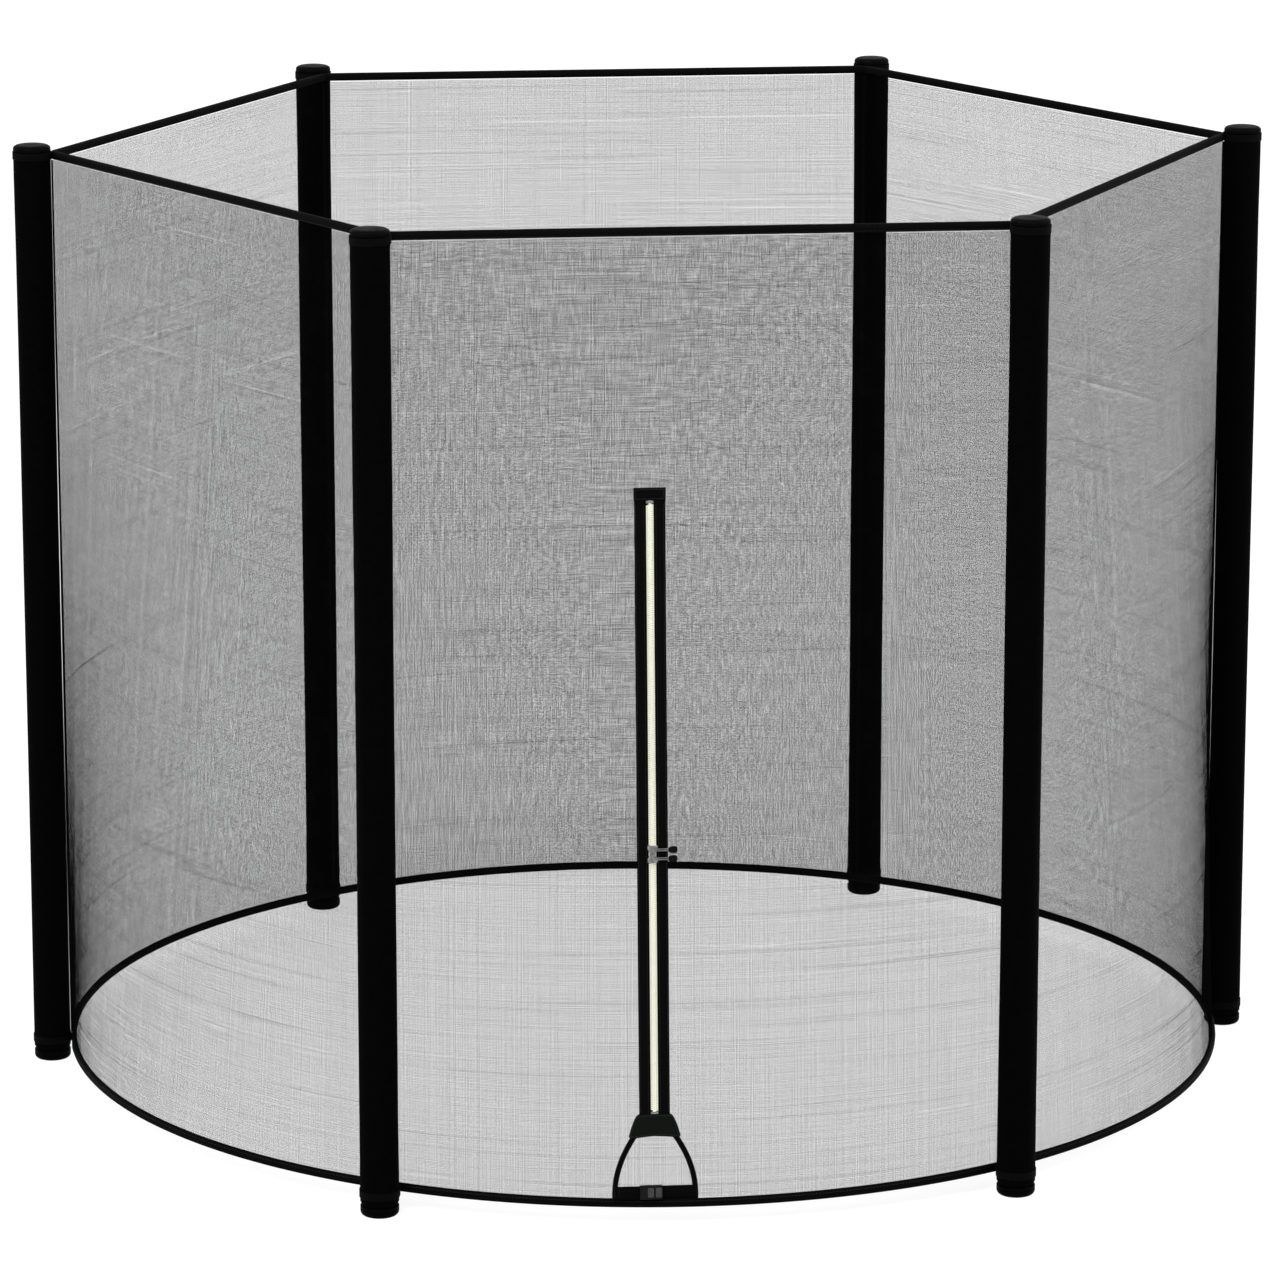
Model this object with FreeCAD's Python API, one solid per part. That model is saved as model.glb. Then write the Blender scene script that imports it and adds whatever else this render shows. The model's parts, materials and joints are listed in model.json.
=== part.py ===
import FreeCAD, Part
import math
import os

# Lengths are in millimetres and angles in degrees.

# The ring of poles
pole_names = ["right", "back_right", "back_left", "left", "front_left", "front_right"]
wall_names = ["back_right", "back", "back_left", "front_left", "front", "front_right"]
pole_circle_radius = 1256.0
pole_height = 1950.0

# Steel tubes and foam sleeve of one pole
tube_radius = 19.0
tube_wall = 1.5
spigot_length = 90.0
spigot_gap = 0.1
lower_tube_length = 950.0
foam_wall = 19.0
sleeve_gap = 0.25

# Foot and cap of one pole, each with a ribbed plug in the tube
foot_height = 20.0
foot_taper = 8.0
cap_height = 14.0
cap_radius = 38.0
cap_top_radius = 27.0
cap_rim = 5.0
plug_length = 30.0
plug_gap = 0.2
plug_rib = 4.0

# Rope along the top and hoop round the bottom, both bound in webbing
rope_half_width = 9.0
rope_drop = 9.0
rope_inset = 1.5
hoop_height = 45.0
hoop_half_height = 9.0
hoop_half_width = 7.0
hoop_inset = 4.0
joint_gap = 0.3

# Webbing loops that hold the rope and the hoop to the poles
band_wall = 1.5
band_width = 16.0
band_gap = 0.3
band_sides = 8

# Net walls
net_thickness = 1.2
net_facets = 5
net_gap = 0.3
net_edge = 22.0
net_cord = 9.0
net_gap_width = 230.0
net_gap_height = 360.0

# Door in the front net wall, measured up the wall from the height of the hoop
door_offset = -100.0
chain_bottom = 178.0
chain_top = 1375.0
chain_half_width = 7.3
chain_thickness = 3.2
chain_slit = 1.6
tape_outer = 30.0
tape_inner = 3.4
tape_thickness = 1.0
slit_half_width = 13.0
layer_gap = 0.3
stop_length = 5.0
top_patch_height = 25.0
patch_thickness = 2.0
patch_half_width = 32.0
low_patch_height = 45.0
low_patch_half_width = 58.0

# Sliders and pull tabs
slider_meeting = 690.0
slider_length = 17.0
slider_half_width = 9.6
slider_plate = 1.4
slider_gap = 0.1
slider_nose = 6.4
slider_post = 1.0
slider_rounding = 3.0
slider_spacing = 0.4
crown_radius = 1.2
crown_lift = 3.4
crown_leg = 2.6
pull_eye_wall = 1.3
pull_gap = 0.05
pull_length = 48.0
pull_neck_width = 5.6
pull_grip_width = 14.0
pull_grip_length = 18.0
pull_thickness = 1.6
pull_grip_thickness = 3.4

# Strap loop, strap and buckle under the door
loop_top_half_width = 56.0
loop_foot_half_width = 84.0
loop_bulge = 5.0
loop_band = 11.0
loop_bottom = 12.0
strap_thickness = 1.6
strap_width = 24.0
strap_tuck = 6.0
buckle_offset = -8.5
buckle_width = 27.0
buckle_thickness = 9.0
socket_length = 28.0
plug_base_length = 15.0
cavity_depth = 21.0
cavity_height = 20.0
cavity_thickness = 5.0
window_length = 11.0
window_inset = 5.0
prong_width = 3.4
prong_head_width = 5.0
prong_head_length = 10.0
prong_end_gap = 1.0
buckle_gap = 0.1
buckle_rounding = 2.0

# Sizes that follow from the ones above
pole_count = len(pole_names)
half_turn = 180.0 / pole_count
up = FreeCAD.Vector(0, 0, 1)
across = FreeCAD.Vector(1, 0, 0)
centre = FreeCAD.Vector(0, 0, 0)

tube_bore = tube_radius - tube_wall
foam_bore = tube_radius + sleeve_gap
foam_radius = foam_bore + foam_wall
sleeve_top = pole_height - cap_height
shoulder_height = foot_height + lower_tube_length

band_apothem = foam_radius + band_gap
band_reach = band_apothem + band_wall + joint_gap
rope_height = sleeve_top - rope_drop
rope_half_height = rope_half_width / math.cos(math.radians(30))
rope_corner_radius = pole_circle_radius - band_reach - rope_inset
rope_apothem = rope_corner_radius * math.cos(math.radians(half_turn))
rope_half_span = rope_corner_radius * math.sin(math.radians(half_turn))
hoop_radius = pole_circle_radius - band_reach - hoop_inset

facet_half_angle = half_turn / net_facets
net_low_radius = 2 * hoop_radius / (1 + math.cos(math.radians(facet_half_angle)))
net_top = rope_height - rope_half_height - net_gap
net_bottom = hoop_height + hoop_half_height + net_gap


def point(pair):
    return FreeCAD.Vector(pair[0], 0, pair[1])


def outline(*steps):
    # a closed face in the XZ plane; a step of one point is a line to it, and one of two is an arc
    ends = [point(step[-1]) for step in steps]
    starts = ends[-1:] + ends[:-1]
    edges = []
    for start, step, end in zip(starts, steps, ends):
        if len(step) == 2:
            edges.append(Part.Arc(start, point(step[0]), end).toShape())
        else:
            edges.append(Part.LineSegment(start, end).toShape())
    return Part.Face(Part.Wire(edges))


def lathe(*steps):
    return outline(*steps).revolve(centre, up, 360)


def plate(front, back, *steps):
    # the outline as a plate between two depths along Y
    face = outline(*steps)
    face.translate(FreeCAD.Vector(0, front, 0))
    return face.extrude(FreeCAD.Vector(0, back - front, 0))


def block(x_range, y_range, z_range):
    size = [high - low for low, high in (x_range, y_range, z_range)]
    corner = FreeCAD.Vector(x_range[0], y_range[0], z_range[0])
    return Part.makeBox(size[0], size[1], size[2], corner)


def tube(outer, inner, bottom, top):
    bar = Part.makeCylinder(outer, top - bottom, FreeCAD.Vector(0, 0, bottom))
    return bar.cut(Part.makeCylinder(inner, top - bottom, FreeCAD.Vector(0, 0, bottom)))


def at_pole(shape, number):
    # the shape is drawn round the pole's own axis, with X pointing away from the middle
    moved = shape.translated(FreeCAD.Vector(pole_circle_radius, 0, 0))
    return moved.rotated(centre, up, number * 2 * half_turn)


def at_wall(shape, number):
    # the shape is drawn on the front wall, and wall 0 stands between the first two poles
    return shape.rotated(centre, up, (number * 2 + 1) * half_turn + 90)


def at_every_pole(shape):
    return [at_pole(shape, number) for number in range(pole_count)]


def write(name, *shapes):
    whole = shapes[0] if len(shapes) == 1 else Part.makeCompound(list(shapes))
    whole.exportStep("parts/" + name + ".step")


# Poles

def lower_tube():
    # the top end is drawn in to a spigot that plugs into the upper tube, which stands on its shoulder
    spigot = tube_bore - spigot_gap
    spigot_top = shoulder_height + spigot_length
    return lathe(
        [(tube_bore, foot_height)],
        [(tube_radius, foot_height)],
        [(tube_radius, shoulder_height)],
        [(spigot, shoulder_height)],
        [(spigot, spigot_top)],
        [(spigot - tube_wall, spigot_top)],
        [(spigot - tube_wall, shoulder_height - tube_wall)],
        [(tube_bore, shoulder_height - tube_wall)],
    )


def upper_tube():
    return tube(tube_radius, tube_bore, shoulder_height, sleeve_top)


def ribbed_plug(low, high):
    # two crossed ribs that grip the bore of the tube
    half_rib = plug_rib / 2
    reach = math.sqrt((tube_bore - plug_gap) ** 2 - half_rib ** 2)
    rib = block((-reach, reach), (-half_rib, half_rib), (low, high))
    return rib.fuse(rib.rotated(centre, up, 90))


def foot():
    pad = lathe(
        [(0, 0)],
        [(foam_radius - foot_taper, 0)],
        [(foam_radius, foot_height)],
        [(0, foot_height)],
    )
    return pad.fuse(ribbed_plug(foot_height, foot_height + plug_length)).removeSplitter()


def cap():
    lid = lathe(
        [(0, sleeve_top)],
        [(cap_radius, sleeve_top)],
        [(cap_radius, sleeve_top + cap_rim)],
        [(cap_top_radius, pole_height)],
        [(0, pole_height)],
    )
    return lid.fuse(ribbed_plug(sleeve_top - plug_length, sleeve_top)).removeSplitter()


# Rope, hoop and the loops that tie them to the poles

def top_rope():
    # one side of the hexagon: webbing folded into a six-sided bar, mitred at the middle of each pole
    half_length = rope_half_span + 2 * rope_half_width
    bar = prism(rope_half_width, 6, -half_length, half_length).rotated(centre, FreeCAD.Vector(1, 1, 1), 120)
    bar.translate(FreeCAD.Vector(0, -rope_apothem, rope_height))
    low = rope_height - 2 * rope_half_width
    high = rope_height + 2 * rope_half_width
    return bar.common(wall_wedge(low, high)).cut(behind_loops(low, high))


def wall_wedge(low, high):
    # the space between two poles, as a triangle from the middle, less half a joint gap at each side
    reach = 2 * pole_circle_radius
    tip = -joint_gap / 2 / math.sin(math.radians(half_turn))
    side = reach * math.tan(math.radians(half_turn))
    corners = [(0, tip), (-side, tip - reach), (side, tip - reach), (0, tip)]
    face = Part.Face(Part.makePolygon([FreeCAD.Vector(x, y, low) for x, y in corners]))
    return face.extrude(up * (high - low))


def behind_loops(low, high):
    # the space behind the flat inner sides of the front wall's two loops, which press the bars flat
    depth = pole_circle_radius / 4
    slab = block((-band_reach, depth), (-depth, depth), (low, high))
    slab.translate(FreeCAD.Vector(pole_circle_radius, 0, 0))
    return slab.rotated(centre, up, -90 - half_turn).fuse(slab.rotated(centre, up, half_turn - 90))


def hoop():
    # webbing folded flat over a cord, bent to one arc of the circle and pressed flat at the loops
    left = hoop_radius - hoop_half_width
    right = hoop_radius + hoop_half_width
    low = hoop_height - hoop_half_height
    high = hoop_height + hoop_half_height
    face = outline([(left, low)], [(right, low)], [(right, high)], [(left, high)])
    gap_turn = math.degrees(joint_gap / hoop_radius)
    face.rotate(centre, up, gap_turn / 2 - half_turn - 90)
    arc = face.revolve(centre, up, 2 * half_turn - gap_turn)
    return arc.cut(behind_loops(low, high))


def prism(apothem, sides, low, high):
    # an upright prism with a flat side towards the middle of the enclosure
    radius = apothem / math.cos(math.pi / sides)
    turns = [2 * math.pi * (n + 0.5) / sides for n in range(sides + 1)]
    corners = [FreeCAD.Vector(radius * math.cos(turn), radius * math.sin(turn), low) for turn in turns]
    return Part.Face(Part.makePolygon(corners)).extrude(up * (high - low))


def pole_band(height):
    low = height - band_width / 2
    high = height + band_width / 2
    return prism(band_apothem + band_wall, band_sides, low, high).cut(prism(band_apothem, band_sides, low, high))


# Net walls

def polar(radius, angle, height):
    turn = math.radians(angle)
    return FreeCAD.Vector(radius * math.cos(turn), radius * math.sin(turn), height)


def net_points(extra):
    # the two top corners, then the points along the hoop from left to right
    end_angle = half_turn - math.degrees(joint_gap / 2 / hoop_radius)
    tops = [polar(rope_corner_radius + extra, side * end_angle - 90, net_top) for side in (-1, 1)]
    step = 2 * end_angle / net_facets
    angles = [-90 - end_angle + n * step for n in range(net_facets + 1)]
    return tops + [polar(net_low_radius + extra, angle, net_bottom) for angle in angles]


def net_sheet():
    # a flat trapezoid below the top hem, and triangles that fan from its corners to the round hoop
    inner = net_points(0)
    outer = net_points(net_thickness)
    middle = net_facets // 2
    low = [2 + n for n in range(net_facets + 1)]
    facets = [[0, low[n], low[n + 1]] for n in range(middle)]
    facets.append([0, low[middle], low[middle + 1], 1])
    facets += [[1, low[n], low[n + 1]] for n in range(middle + 1, net_facets)]
    rim = [0] + low + [1]
    faces = []
    for points in (inner, outer):
        faces += [[points[n] for n in facet] for facet in facets]
    for a, b in zip(rim, rim[1:] + rim[:1]):
        faces.append([inner[a], inner[b], outer[b], outer[a]])
    shell = Part.Shell([Part.Face(Part.makePolygon(face + face[:1])) for face in faces])
    return Part.Solid(shell)


def spread(low, high, size):
    # equal gaps from low to high with a cord between them, each about the given size
    count = max(1, round((high - low + net_cord) / (size + net_cord)))
    width = (high - low - (count - 1) * net_cord) / count
    return [(low + n * (width + net_cord), low + n * (width + net_cord) + width) for n in range(count)]


def net_wall(column_ranges):
    rows = spread(net_bottom + net_edge, net_top - net_edge, net_gap_height)
    columns = []
    for low, high in column_ranges:
        columns += spread(low, high, net_gap_width)
    depth = (-pole_circle_radius, -pole_circle_radius / 2)
    gaps = [block(column, depth, row) for column in columns for row in rows]
    return net_sheet().cut(Part.makeCompound(gaps))


def plain_net_wall():
    half = rope_half_span - net_edge
    return net_wall([(-half, half)])


# Door. Its pieces are drawn upright with the net's outer face at Y = 0, then leaned onto the wall.

door_top_y = (rope_corner_radius + net_thickness) * math.cos(math.radians(half_turn))
door_low_y = (net_low_radius + net_thickness) * math.cos(math.radians(facet_half_angle))
door_lean = math.degrees(math.atan2(door_low_y - door_top_y, net_top - net_bottom))
door_slope = math.tan(math.radians(door_lean))
door_foot = FreeCAD.Vector(door_offset, -door_low_y - (net_bottom - hoop_height) * door_slope, hoop_height)

tape_front = -layer_gap - tape_thickness
chain_middle = -layer_gap - tape_thickness / 2
chain_depth = (chain_middle - chain_thickness / 2, chain_middle + chain_thickness / 2)
webbing_front = -layer_gap - strap_thickness
strap_depth = (webbing_front - layer_gap - strap_thickness, webbing_front - layer_gap)
strap_middle = loop_bottom + strap_width / 2
buckle_depth = (strap_depth[1] - buckle_thickness, strap_depth[1])


def on_door(shape):
    return shape.rotated(centre, across, -door_lean).translated(door_foot)


def mirrored(shape, side):
    return shape if side > 0 else shape.mirror(centre, across)


def front_net_wall():
    half = rope_half_span - net_edge
    door_side = tape_outer + net_edge / 2
    wall = net_wall([(-half, door_offset - door_side), (door_offset + door_side, half)])
    slit = block((-slit_half_width, slit_half_width), (-net_edge, net_edge), (chain_bottom, chain_top))
    return wall.cut(on_door(slit))


def zip_tape(side):
    tape = block((tape_inner, tape_outer), (tape_front, -layer_gap), (chain_bottom, chain_top))
    return mirrored(tape, side)


def zip_teeth(side):
    # one row of the closed chain, wrapped round the edge of its tape
    low = chain_bottom + stop_length + layer_gap
    high = chain_top - stop_length - layer_gap
    row = block((chain_slit / 2, chain_half_width), chain_depth, (low, high))
    groove = block((tape_inner, chain_half_width), (tape_front, -layer_gap), (low, high))
    return mirrored(row.cut(groove), side)


def zip_stop(bottom):
    bar = block((-chain_half_width, chain_half_width), chain_depth, (bottom, bottom + stop_length))
    for side in (-1, 1):
        slot = block((tape_inner, chain_half_width), (tape_front, -layer_gap), (bottom, bottom + stop_length))
        bar = bar.cut(mirrored(slot, side))
    return bar


def top_patch():
    bottom = chain_top + joint_gap
    depth = (-layer_gap - patch_thickness, -layer_gap)
    return block((-patch_half_width, patch_half_width), depth, (bottom, bottom + top_patch_height))


def bottom_patch():
    top = chain_bottom - joint_gap
    bottom = top - low_patch_height
    return plate(
        -layer_gap - patch_thickness,
        -layer_gap,
        [(-patch_half_width, top)],
        [(patch_half_width, top)],
        [(low_patch_half_width, bottom)],
        [(-low_patch_half_width, bottom)],
    )


# Sliders

slider_front = chain_depth[0] - slider_gap - slider_plate
slider_back = chain_depth[1] + slider_gap + slider_plate
crown_depth = slider_front - crown_lift


def slider_body():
    # two plates with a narrow nose, joined by a post that runs between the two rows of teeth
    shape = plate(
        slider_front,
        slider_back,
        [(-slider_nose, 0)],
        [(slider_nose, 0)],
        [(slider_half_width, slider_length - slider_rounding * 2)],
        [(slider_half_width, slider_length - slider_rounding)],
        [(slider_half_width - slider_rounding, slider_length)],
        [(slider_rounding - slider_half_width, slider_length)],
        [(-slider_half_width, slider_length - slider_rounding)],
        [(-slider_half_width, slider_length - slider_rounding * 2)],
    )
    channel_depth = (chain_depth[0] - slider_gap, chain_depth[1] + slider_gap)
    tape_depth = (tape_front - slider_gap, slider_gap - layer_gap)
    long = (-slider_length, 2 * slider_length)
    for side in (-1, 1):
        channel = block((slider_post / 2, chain_half_width + slider_gap), channel_depth, long)
        tape_way = block((slider_post / 2, 2 * slider_half_width), tape_depth, long)
        shape = shape.cut(mirrored(channel, side)).cut(mirrored(tape_way, side))
    return shape


def slider():
    # the crown is the bar on two legs that holds the pull tab
    body = slider_body()
    for low in (0, slider_length - crown_leg):
        leg = block(
            (-crown_radius, crown_radius),
            (crown_depth - crown_radius, slider_front + slider_plate / 2),
            (low, low + crown_leg),
        )
        body = body.fuse(leg)
    bar = Part.makeCylinder(crown_radius, slider_length - 2 * crown_leg, FreeCAD.Vector(0, crown_depth, crown_leg))
    return body.fuse(bar).removeSplitter()


def pull_tab():
    # an eye round the crown, a thin neck and a thicker grip with its end corners cut off
    eye_bore = crown_radius + pull_gap
    eye_radius = eye_bore + pull_eye_wall
    middle = slider_length / 2
    low = middle - pull_neck_width / 2
    high = middle + pull_neck_width / 2
    eye = Part.makeCylinder(eye_radius, pull_neck_width, FreeCAD.Vector(0, crown_depth, low))
    half_thickness = pull_thickness / 2
    grip_start = pull_length - pull_grip_length
    neck = block((0, grip_start + 1), (crown_depth - half_thickness, crown_depth + half_thickness), (low, high))
    half_grip = pull_grip_width / 2
    corner_run = pull_length - half_grip / 2
    grip = plate(
        crown_depth - pull_grip_thickness / 2,
        crown_depth + pull_grip_thickness / 2,
        [(grip_start, middle - half_grip)],
        [(corner_run, middle - half_grip)],
        [(pull_length, middle - half_grip / 2)],
        [(pull_length, middle + half_grip / 2)],
        [(corner_run, middle + half_grip)],
        [(grip_start, middle + half_grip)],
    )
    bore = Part.makeCylinder(eye_bore, 3 * pull_neck_width, FreeCAD.Vector(0, crown_depth, low - pull_neck_width))
    return eye.fuse(neck).fuse(grip).cut(bore).removeSplitter()


def upper_slider_place(shape):
    return on_door(shape.translated(FreeCAD.Vector(0, 0, slider_meeting + slider_spacing / 2)))


def lower_slider_place(shape):
    return on_door(shape.translated(FreeCAD.Vector(0, 0, slider_meeting - slider_spacing / 2 - slider_length)))


def nose_down(shape):
    return shape.mirror(FreeCAD.Vector(0, 0, slider_length / 2), up)


# Strap loop, strap and buckle

def strap_loop():
    # webbing sewn to the patch above, spreading to the strap below; open at the foot
    top = chain_bottom - joint_gap - low_patch_height - joint_gap
    inner_top = top - loop_band
    middle = (top + loop_bottom) / 2
    top_x = loop_top_half_width
    foot_x = loop_foot_half_width
    middle_x = (top_x + foot_x) / 2 + loop_bulge
    inner_foot = foot_x - loop_band
    inner_middle = middle_x - loop_band
    inner_x = top_x - loop_band
    return plate(
        webbing_front,
        -layer_gap,
        [(top_x, top)],
        [(middle_x, middle), (foot_x, loop_bottom)],
        [(inner_foot, loop_bottom)],
        [(inner_middle, middle), (inner_x, inner_top)],
        [(-inner_x, inner_top)],
        [(-inner_middle, middle), (-inner_foot, loop_bottom)],
        [(-foot_x, loop_bottom)],
        [(-middle_x, middle), (-top_x, top)],
    )


socket_left = buckle_offset - (socket_length + plug_base_length) / 2
socket_right = socket_left + socket_length
plug_left = socket_right + layer_gap
plug_right = plug_left + plug_base_length
strap_slot_depth = (strap_depth[0] - layer_gap, 0)
strap_slot_height = (strap_middle - strap_width / 2 - layer_gap, strap_middle + strap_width / 2 + layer_gap)


def strap_half(start, end):
    return block((start, end), strap_depth, (strap_middle - strap_width / 2, strap_middle + strap_width / 2))


def buckle_case(left, right):
    # a box with its long edges rounded
    height = (strap_middle - buckle_width / 2, strap_middle + buckle_width / 2)
    box = block((left, right), buckle_depth, height)
    long_edges = [edge for edge in box.Edges if abs(edge.tangentAt(edge.FirstParameter).x) > 0.9]
    front_edges = [edge for edge in long_edges if edge.CenterOfMass.y < sum(buckle_depth) / 2]
    return box.makeFillet(buckle_rounding, front_edges)


cavity_front = buckle_depth[0] + (buckle_thickness - strap_thickness - layer_gap - cavity_thickness) / 2
cavity_back = cavity_front + cavity_thickness


def buckle_socket():
    low = strap_middle - cavity_height / 2
    high = strap_middle + cavity_height / 2
    cavity = block((socket_right - cavity_depth, socket_right), (cavity_front, cavity_back), (low, high))
    window_right = socket_right - window_inset
    window = block(
        (window_right - window_length, window_right),
        (cavity_front, cavity_back),
        (strap_middle - buckle_width, strap_middle + buckle_width),
    )
    strap_slot = block((socket_left, socket_left + strap_tuck + layer_gap), strap_slot_depth, strap_slot_height)
    return buckle_case(socket_left, socket_right).cut(cavity).cut(window).cut(strap_slot)


def prong(side):
    # one side arm of the plug, with its head at the width that it is squeezed to
    outer = cavity_height / 2 - buckle_gap
    tip = socket_right - cavity_depth + prong_end_gap
    head_end = tip + prong_head_length
    arm = plate(
        cavity_front + buckle_gap,
        cavity_back - buckle_gap,
        [(plug_left, outer - prong_width)],
        [(plug_left, outer)],
        [(tip + prong_width, outer)],
        [(tip, outer - prong_head_width / 2)],
        [(tip, outer - prong_head_width)],
        [(head_end, outer - prong_head_width)],
        [(head_end + prong_width, outer - prong_width)],
    )
    if side < 0:
        arm = arm.mirror(centre, up)
    return arm.translated(FreeCAD.Vector(0, 0, strap_middle))


def buckle_plug():
    # the base has a channel behind it that the strap lies in; the middle tongue guides it
    base = buckle_case(plug_left, plug_right)
    channel = block((plug_left, plug_right), strap_slot_depth, strap_slot_height)
    tip = socket_right - cavity_depth + prong_end_gap
    tongue = block(
        (tip, plug_left),
        (cavity_front + buckle_gap, cavity_back - buckle_gap),
        (strap_middle - prong_width / 2, strap_middle + prong_width / 2),
    )
    return base.cut(channel).fuse([prong(-1), prong(1), tongue]).removeSplitter()


def write_poles():
    for number, name in enumerate(pole_names):
        write("lower_tube_" + name, at_pole(lower_tube(), number))
        write("upper_tube_" + name, at_pole(upper_tube(), number))
        write("foam_sleeve_" + name, at_pole(tube(foam_radius, foam_bore, foot_height, sleeve_top), number))
    write("pole_feet", *at_every_pole(foot()))
    write("pole_caps", *at_every_pole(cap()))
    write("top_loops", *at_every_pole(pole_band(rope_height)))
    write("bottom_loops", *at_every_pole(pole_band(hoop_height)))


def write_walls():
    plain = plain_net_wall()
    for number, name in enumerate(wall_names):
        wall = front_net_wall() if name == "front" else plain
        write("net_" + name, at_wall(wall, number))
        write("top_rope_" + name, at_wall(top_rope(), number))
        write("hoop_" + name, at_wall(hoop(), number))


def write_door():
    for side, name in ((-1, "left"), (1, "right")):
        write("zip_tape_" + name, on_door(zip_tape(side)))
        write("zip_teeth_" + name, on_door(zip_teeth(side)))
    write("zip_stops", on_door(zip_stop(chain_bottom)), on_door(zip_stop(chain_top - stop_length)))
    write("top_patch", on_door(top_patch()))
    write("bottom_patch", on_door(bottom_patch()))
    write("upper_slider", upper_slider_place(slider()))
    write("upper_pull", upper_slider_place(pull_tab()))
    write("lower_slider", lower_slider_place(nose_down(slider())))
    write("lower_pull", lower_slider_place(pull_tab()))
    write("strap_loop", on_door(strap_loop()))
    write("strap_left", on_door(strap_half(-loop_foot_half_width, socket_left + strap_tuck)))
    write("strap_right", on_door(strap_half(plug_right - strap_tuck, loop_foot_half_width)))
    write("buckle_socket", on_door(buckle_socket()))
    write("buckle_plug", on_door(buckle_plug()))


os.makedirs("parts", exist_ok=True)
write_poles()
write_walls()
write_door()
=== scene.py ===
import json
import math
from functools import partial

import bpy
import numpy as np
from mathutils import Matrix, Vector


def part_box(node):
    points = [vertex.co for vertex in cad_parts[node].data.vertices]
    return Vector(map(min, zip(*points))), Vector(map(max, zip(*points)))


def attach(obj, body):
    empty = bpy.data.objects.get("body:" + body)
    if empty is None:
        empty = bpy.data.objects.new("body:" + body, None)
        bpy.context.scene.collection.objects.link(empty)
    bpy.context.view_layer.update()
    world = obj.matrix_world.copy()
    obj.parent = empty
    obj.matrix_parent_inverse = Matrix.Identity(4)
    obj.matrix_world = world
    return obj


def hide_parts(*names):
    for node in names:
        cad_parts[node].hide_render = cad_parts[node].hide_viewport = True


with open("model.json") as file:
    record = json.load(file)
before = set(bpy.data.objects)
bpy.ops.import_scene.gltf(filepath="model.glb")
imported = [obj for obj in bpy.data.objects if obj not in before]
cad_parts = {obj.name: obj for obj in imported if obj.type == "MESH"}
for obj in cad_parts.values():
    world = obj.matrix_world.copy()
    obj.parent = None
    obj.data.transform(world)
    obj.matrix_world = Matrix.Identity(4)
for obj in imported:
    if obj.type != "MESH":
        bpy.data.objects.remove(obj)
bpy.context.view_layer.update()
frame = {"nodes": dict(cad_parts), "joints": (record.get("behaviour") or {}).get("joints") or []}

print("frame loaded:", len(frame["nodes"]), "nodes")

# Lengths are in metres. Arrays of points have shape (..., 3). A solid is (points, faces, UV), and one whose
# UV is None takes the x and z of its points.

poleNames = ["right", "back_right", "back_left", "left", "front_left", "front_right"]
wallNames = ["back_right", "back", "back_left", "front_left", "front", "front_right"]
stepAngle = math.radians(60)
endAngle = stepAngle / 2
clearance = 0.0001  # between pieces that touch


# Camera

cameraLook = {
    "sensor": 36,  # millimetres, as the lens
    "lens": 170.8,
    "distance": 12.64,
    "azimuth": -5.77,
    "elevation": 13.49,
    "targetHeight": 0.892,
    "targetLeft": 0.021,
}


def addObject(name, data):
    made = bpy.data.objects.new(name, data)
    bpy.context.scene.collection.objects.link(made)
    return made


def addCamera(look):
    # the camera stands on a sphere about the target; the target is moved along the camera's left
    azimuth = math.radians(look["azimuth"])
    elevation = math.radians(look["elevation"])
    back = np.array([math.sin(azimuth) * math.cos(elevation),
                     -math.cos(azimuth) * math.cos(elevation), math.sin(elevation)])
    right = np.array([math.cos(azimuth), math.sin(azimuth), 0])
    target = np.array([0, 0, look["targetHeight"]]) - right * look["targetLeft"]
    camera = addObject("camera", bpy.data.cameras.new("camera"))
    camera.data.lens = look["lens"]
    camera.data.sensor_width = look["sensor"]
    camera.location = target + back * look["distance"]
    camera.rotation_euler = (math.pi / 2 - elevation, 0, azimuth)
    bpy.context.scene.camera = camera


addCamera(cameraLook)
print("camera placed")


# Places worked out from the frame

sleeveLow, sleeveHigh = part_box("foam_sleeve_right")
ropeLow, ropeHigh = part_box("top_rope_front")
hoopLow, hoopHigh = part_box("hoop_front")
netLow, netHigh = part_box("net_front")
_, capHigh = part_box("pole_caps")
topLoopLow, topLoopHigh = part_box("top_loops")
lowLoopLow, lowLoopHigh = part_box("bottom_loops")

poleCircle = (sleeveLow.x + sleeveHigh.x) / 2
sleeveRadius = (sleeveHigh.x - sleeveLow.x) / 2
loopFace = 2 * poleCircle - topLoopHigh.x - clearance  # radius of the loops' flat inner faces
ropeApothem = -(ropeLow.y + ropeHigh.y) / 2
ropeHeight = (ropeLow.z + ropeHigh.z) / 2
ropeCorner = ropeApothem / math.cos(endAngle)
ropeHalfSpan = ropeCorner * math.sin(endAngle)
hoopHeight = (hoopLow.z + hoopHigh.z) / 2
hoopBarHalf = 0.007  # of the solid hoop
hoopRadius = -hoopLow.y - hoopBarHalf
netBottom, netTop = netLow.z, netHigh.z

# The door plane leans inwards along the zip, as the slider's joint says.
joints = {joint["name"]: joint for joint in frame["joints"]}
crownStand = 0.0073  # from the net's outer face to the middle of the slider's crown
crownHeight = 0.6987  # from the hoop's height, up the door
doorAcross = np.array([1.0, 0.0, 0.0])
doorUp = np.array(joints["upper_slider_run"]["axis"], float)
doorOut = np.cross(doorAcross, doorUp)
doorFoot = np.array(joints["upper_pull_turn"]["pos_m"]) - doorOut * crownStand - doorUp * crownHeight
chainBottom = 0.178
chainTop = 1.375


def onDoor(points):
    # a point (across, out, up) of the door plane in the frame of the whole object
    return doorFoot + np.asarray(points, float) @ np.array([doorAcross, doorOut, doorUp])


def turned(points, angle):
    # the points turned about the vertical axis
    cosine, sine = math.cos(angle), math.sin(angle)
    return points @ np.array([[cosine, sine, 0], [-sine, cosine, 0], [0, 0, 1]])


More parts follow.
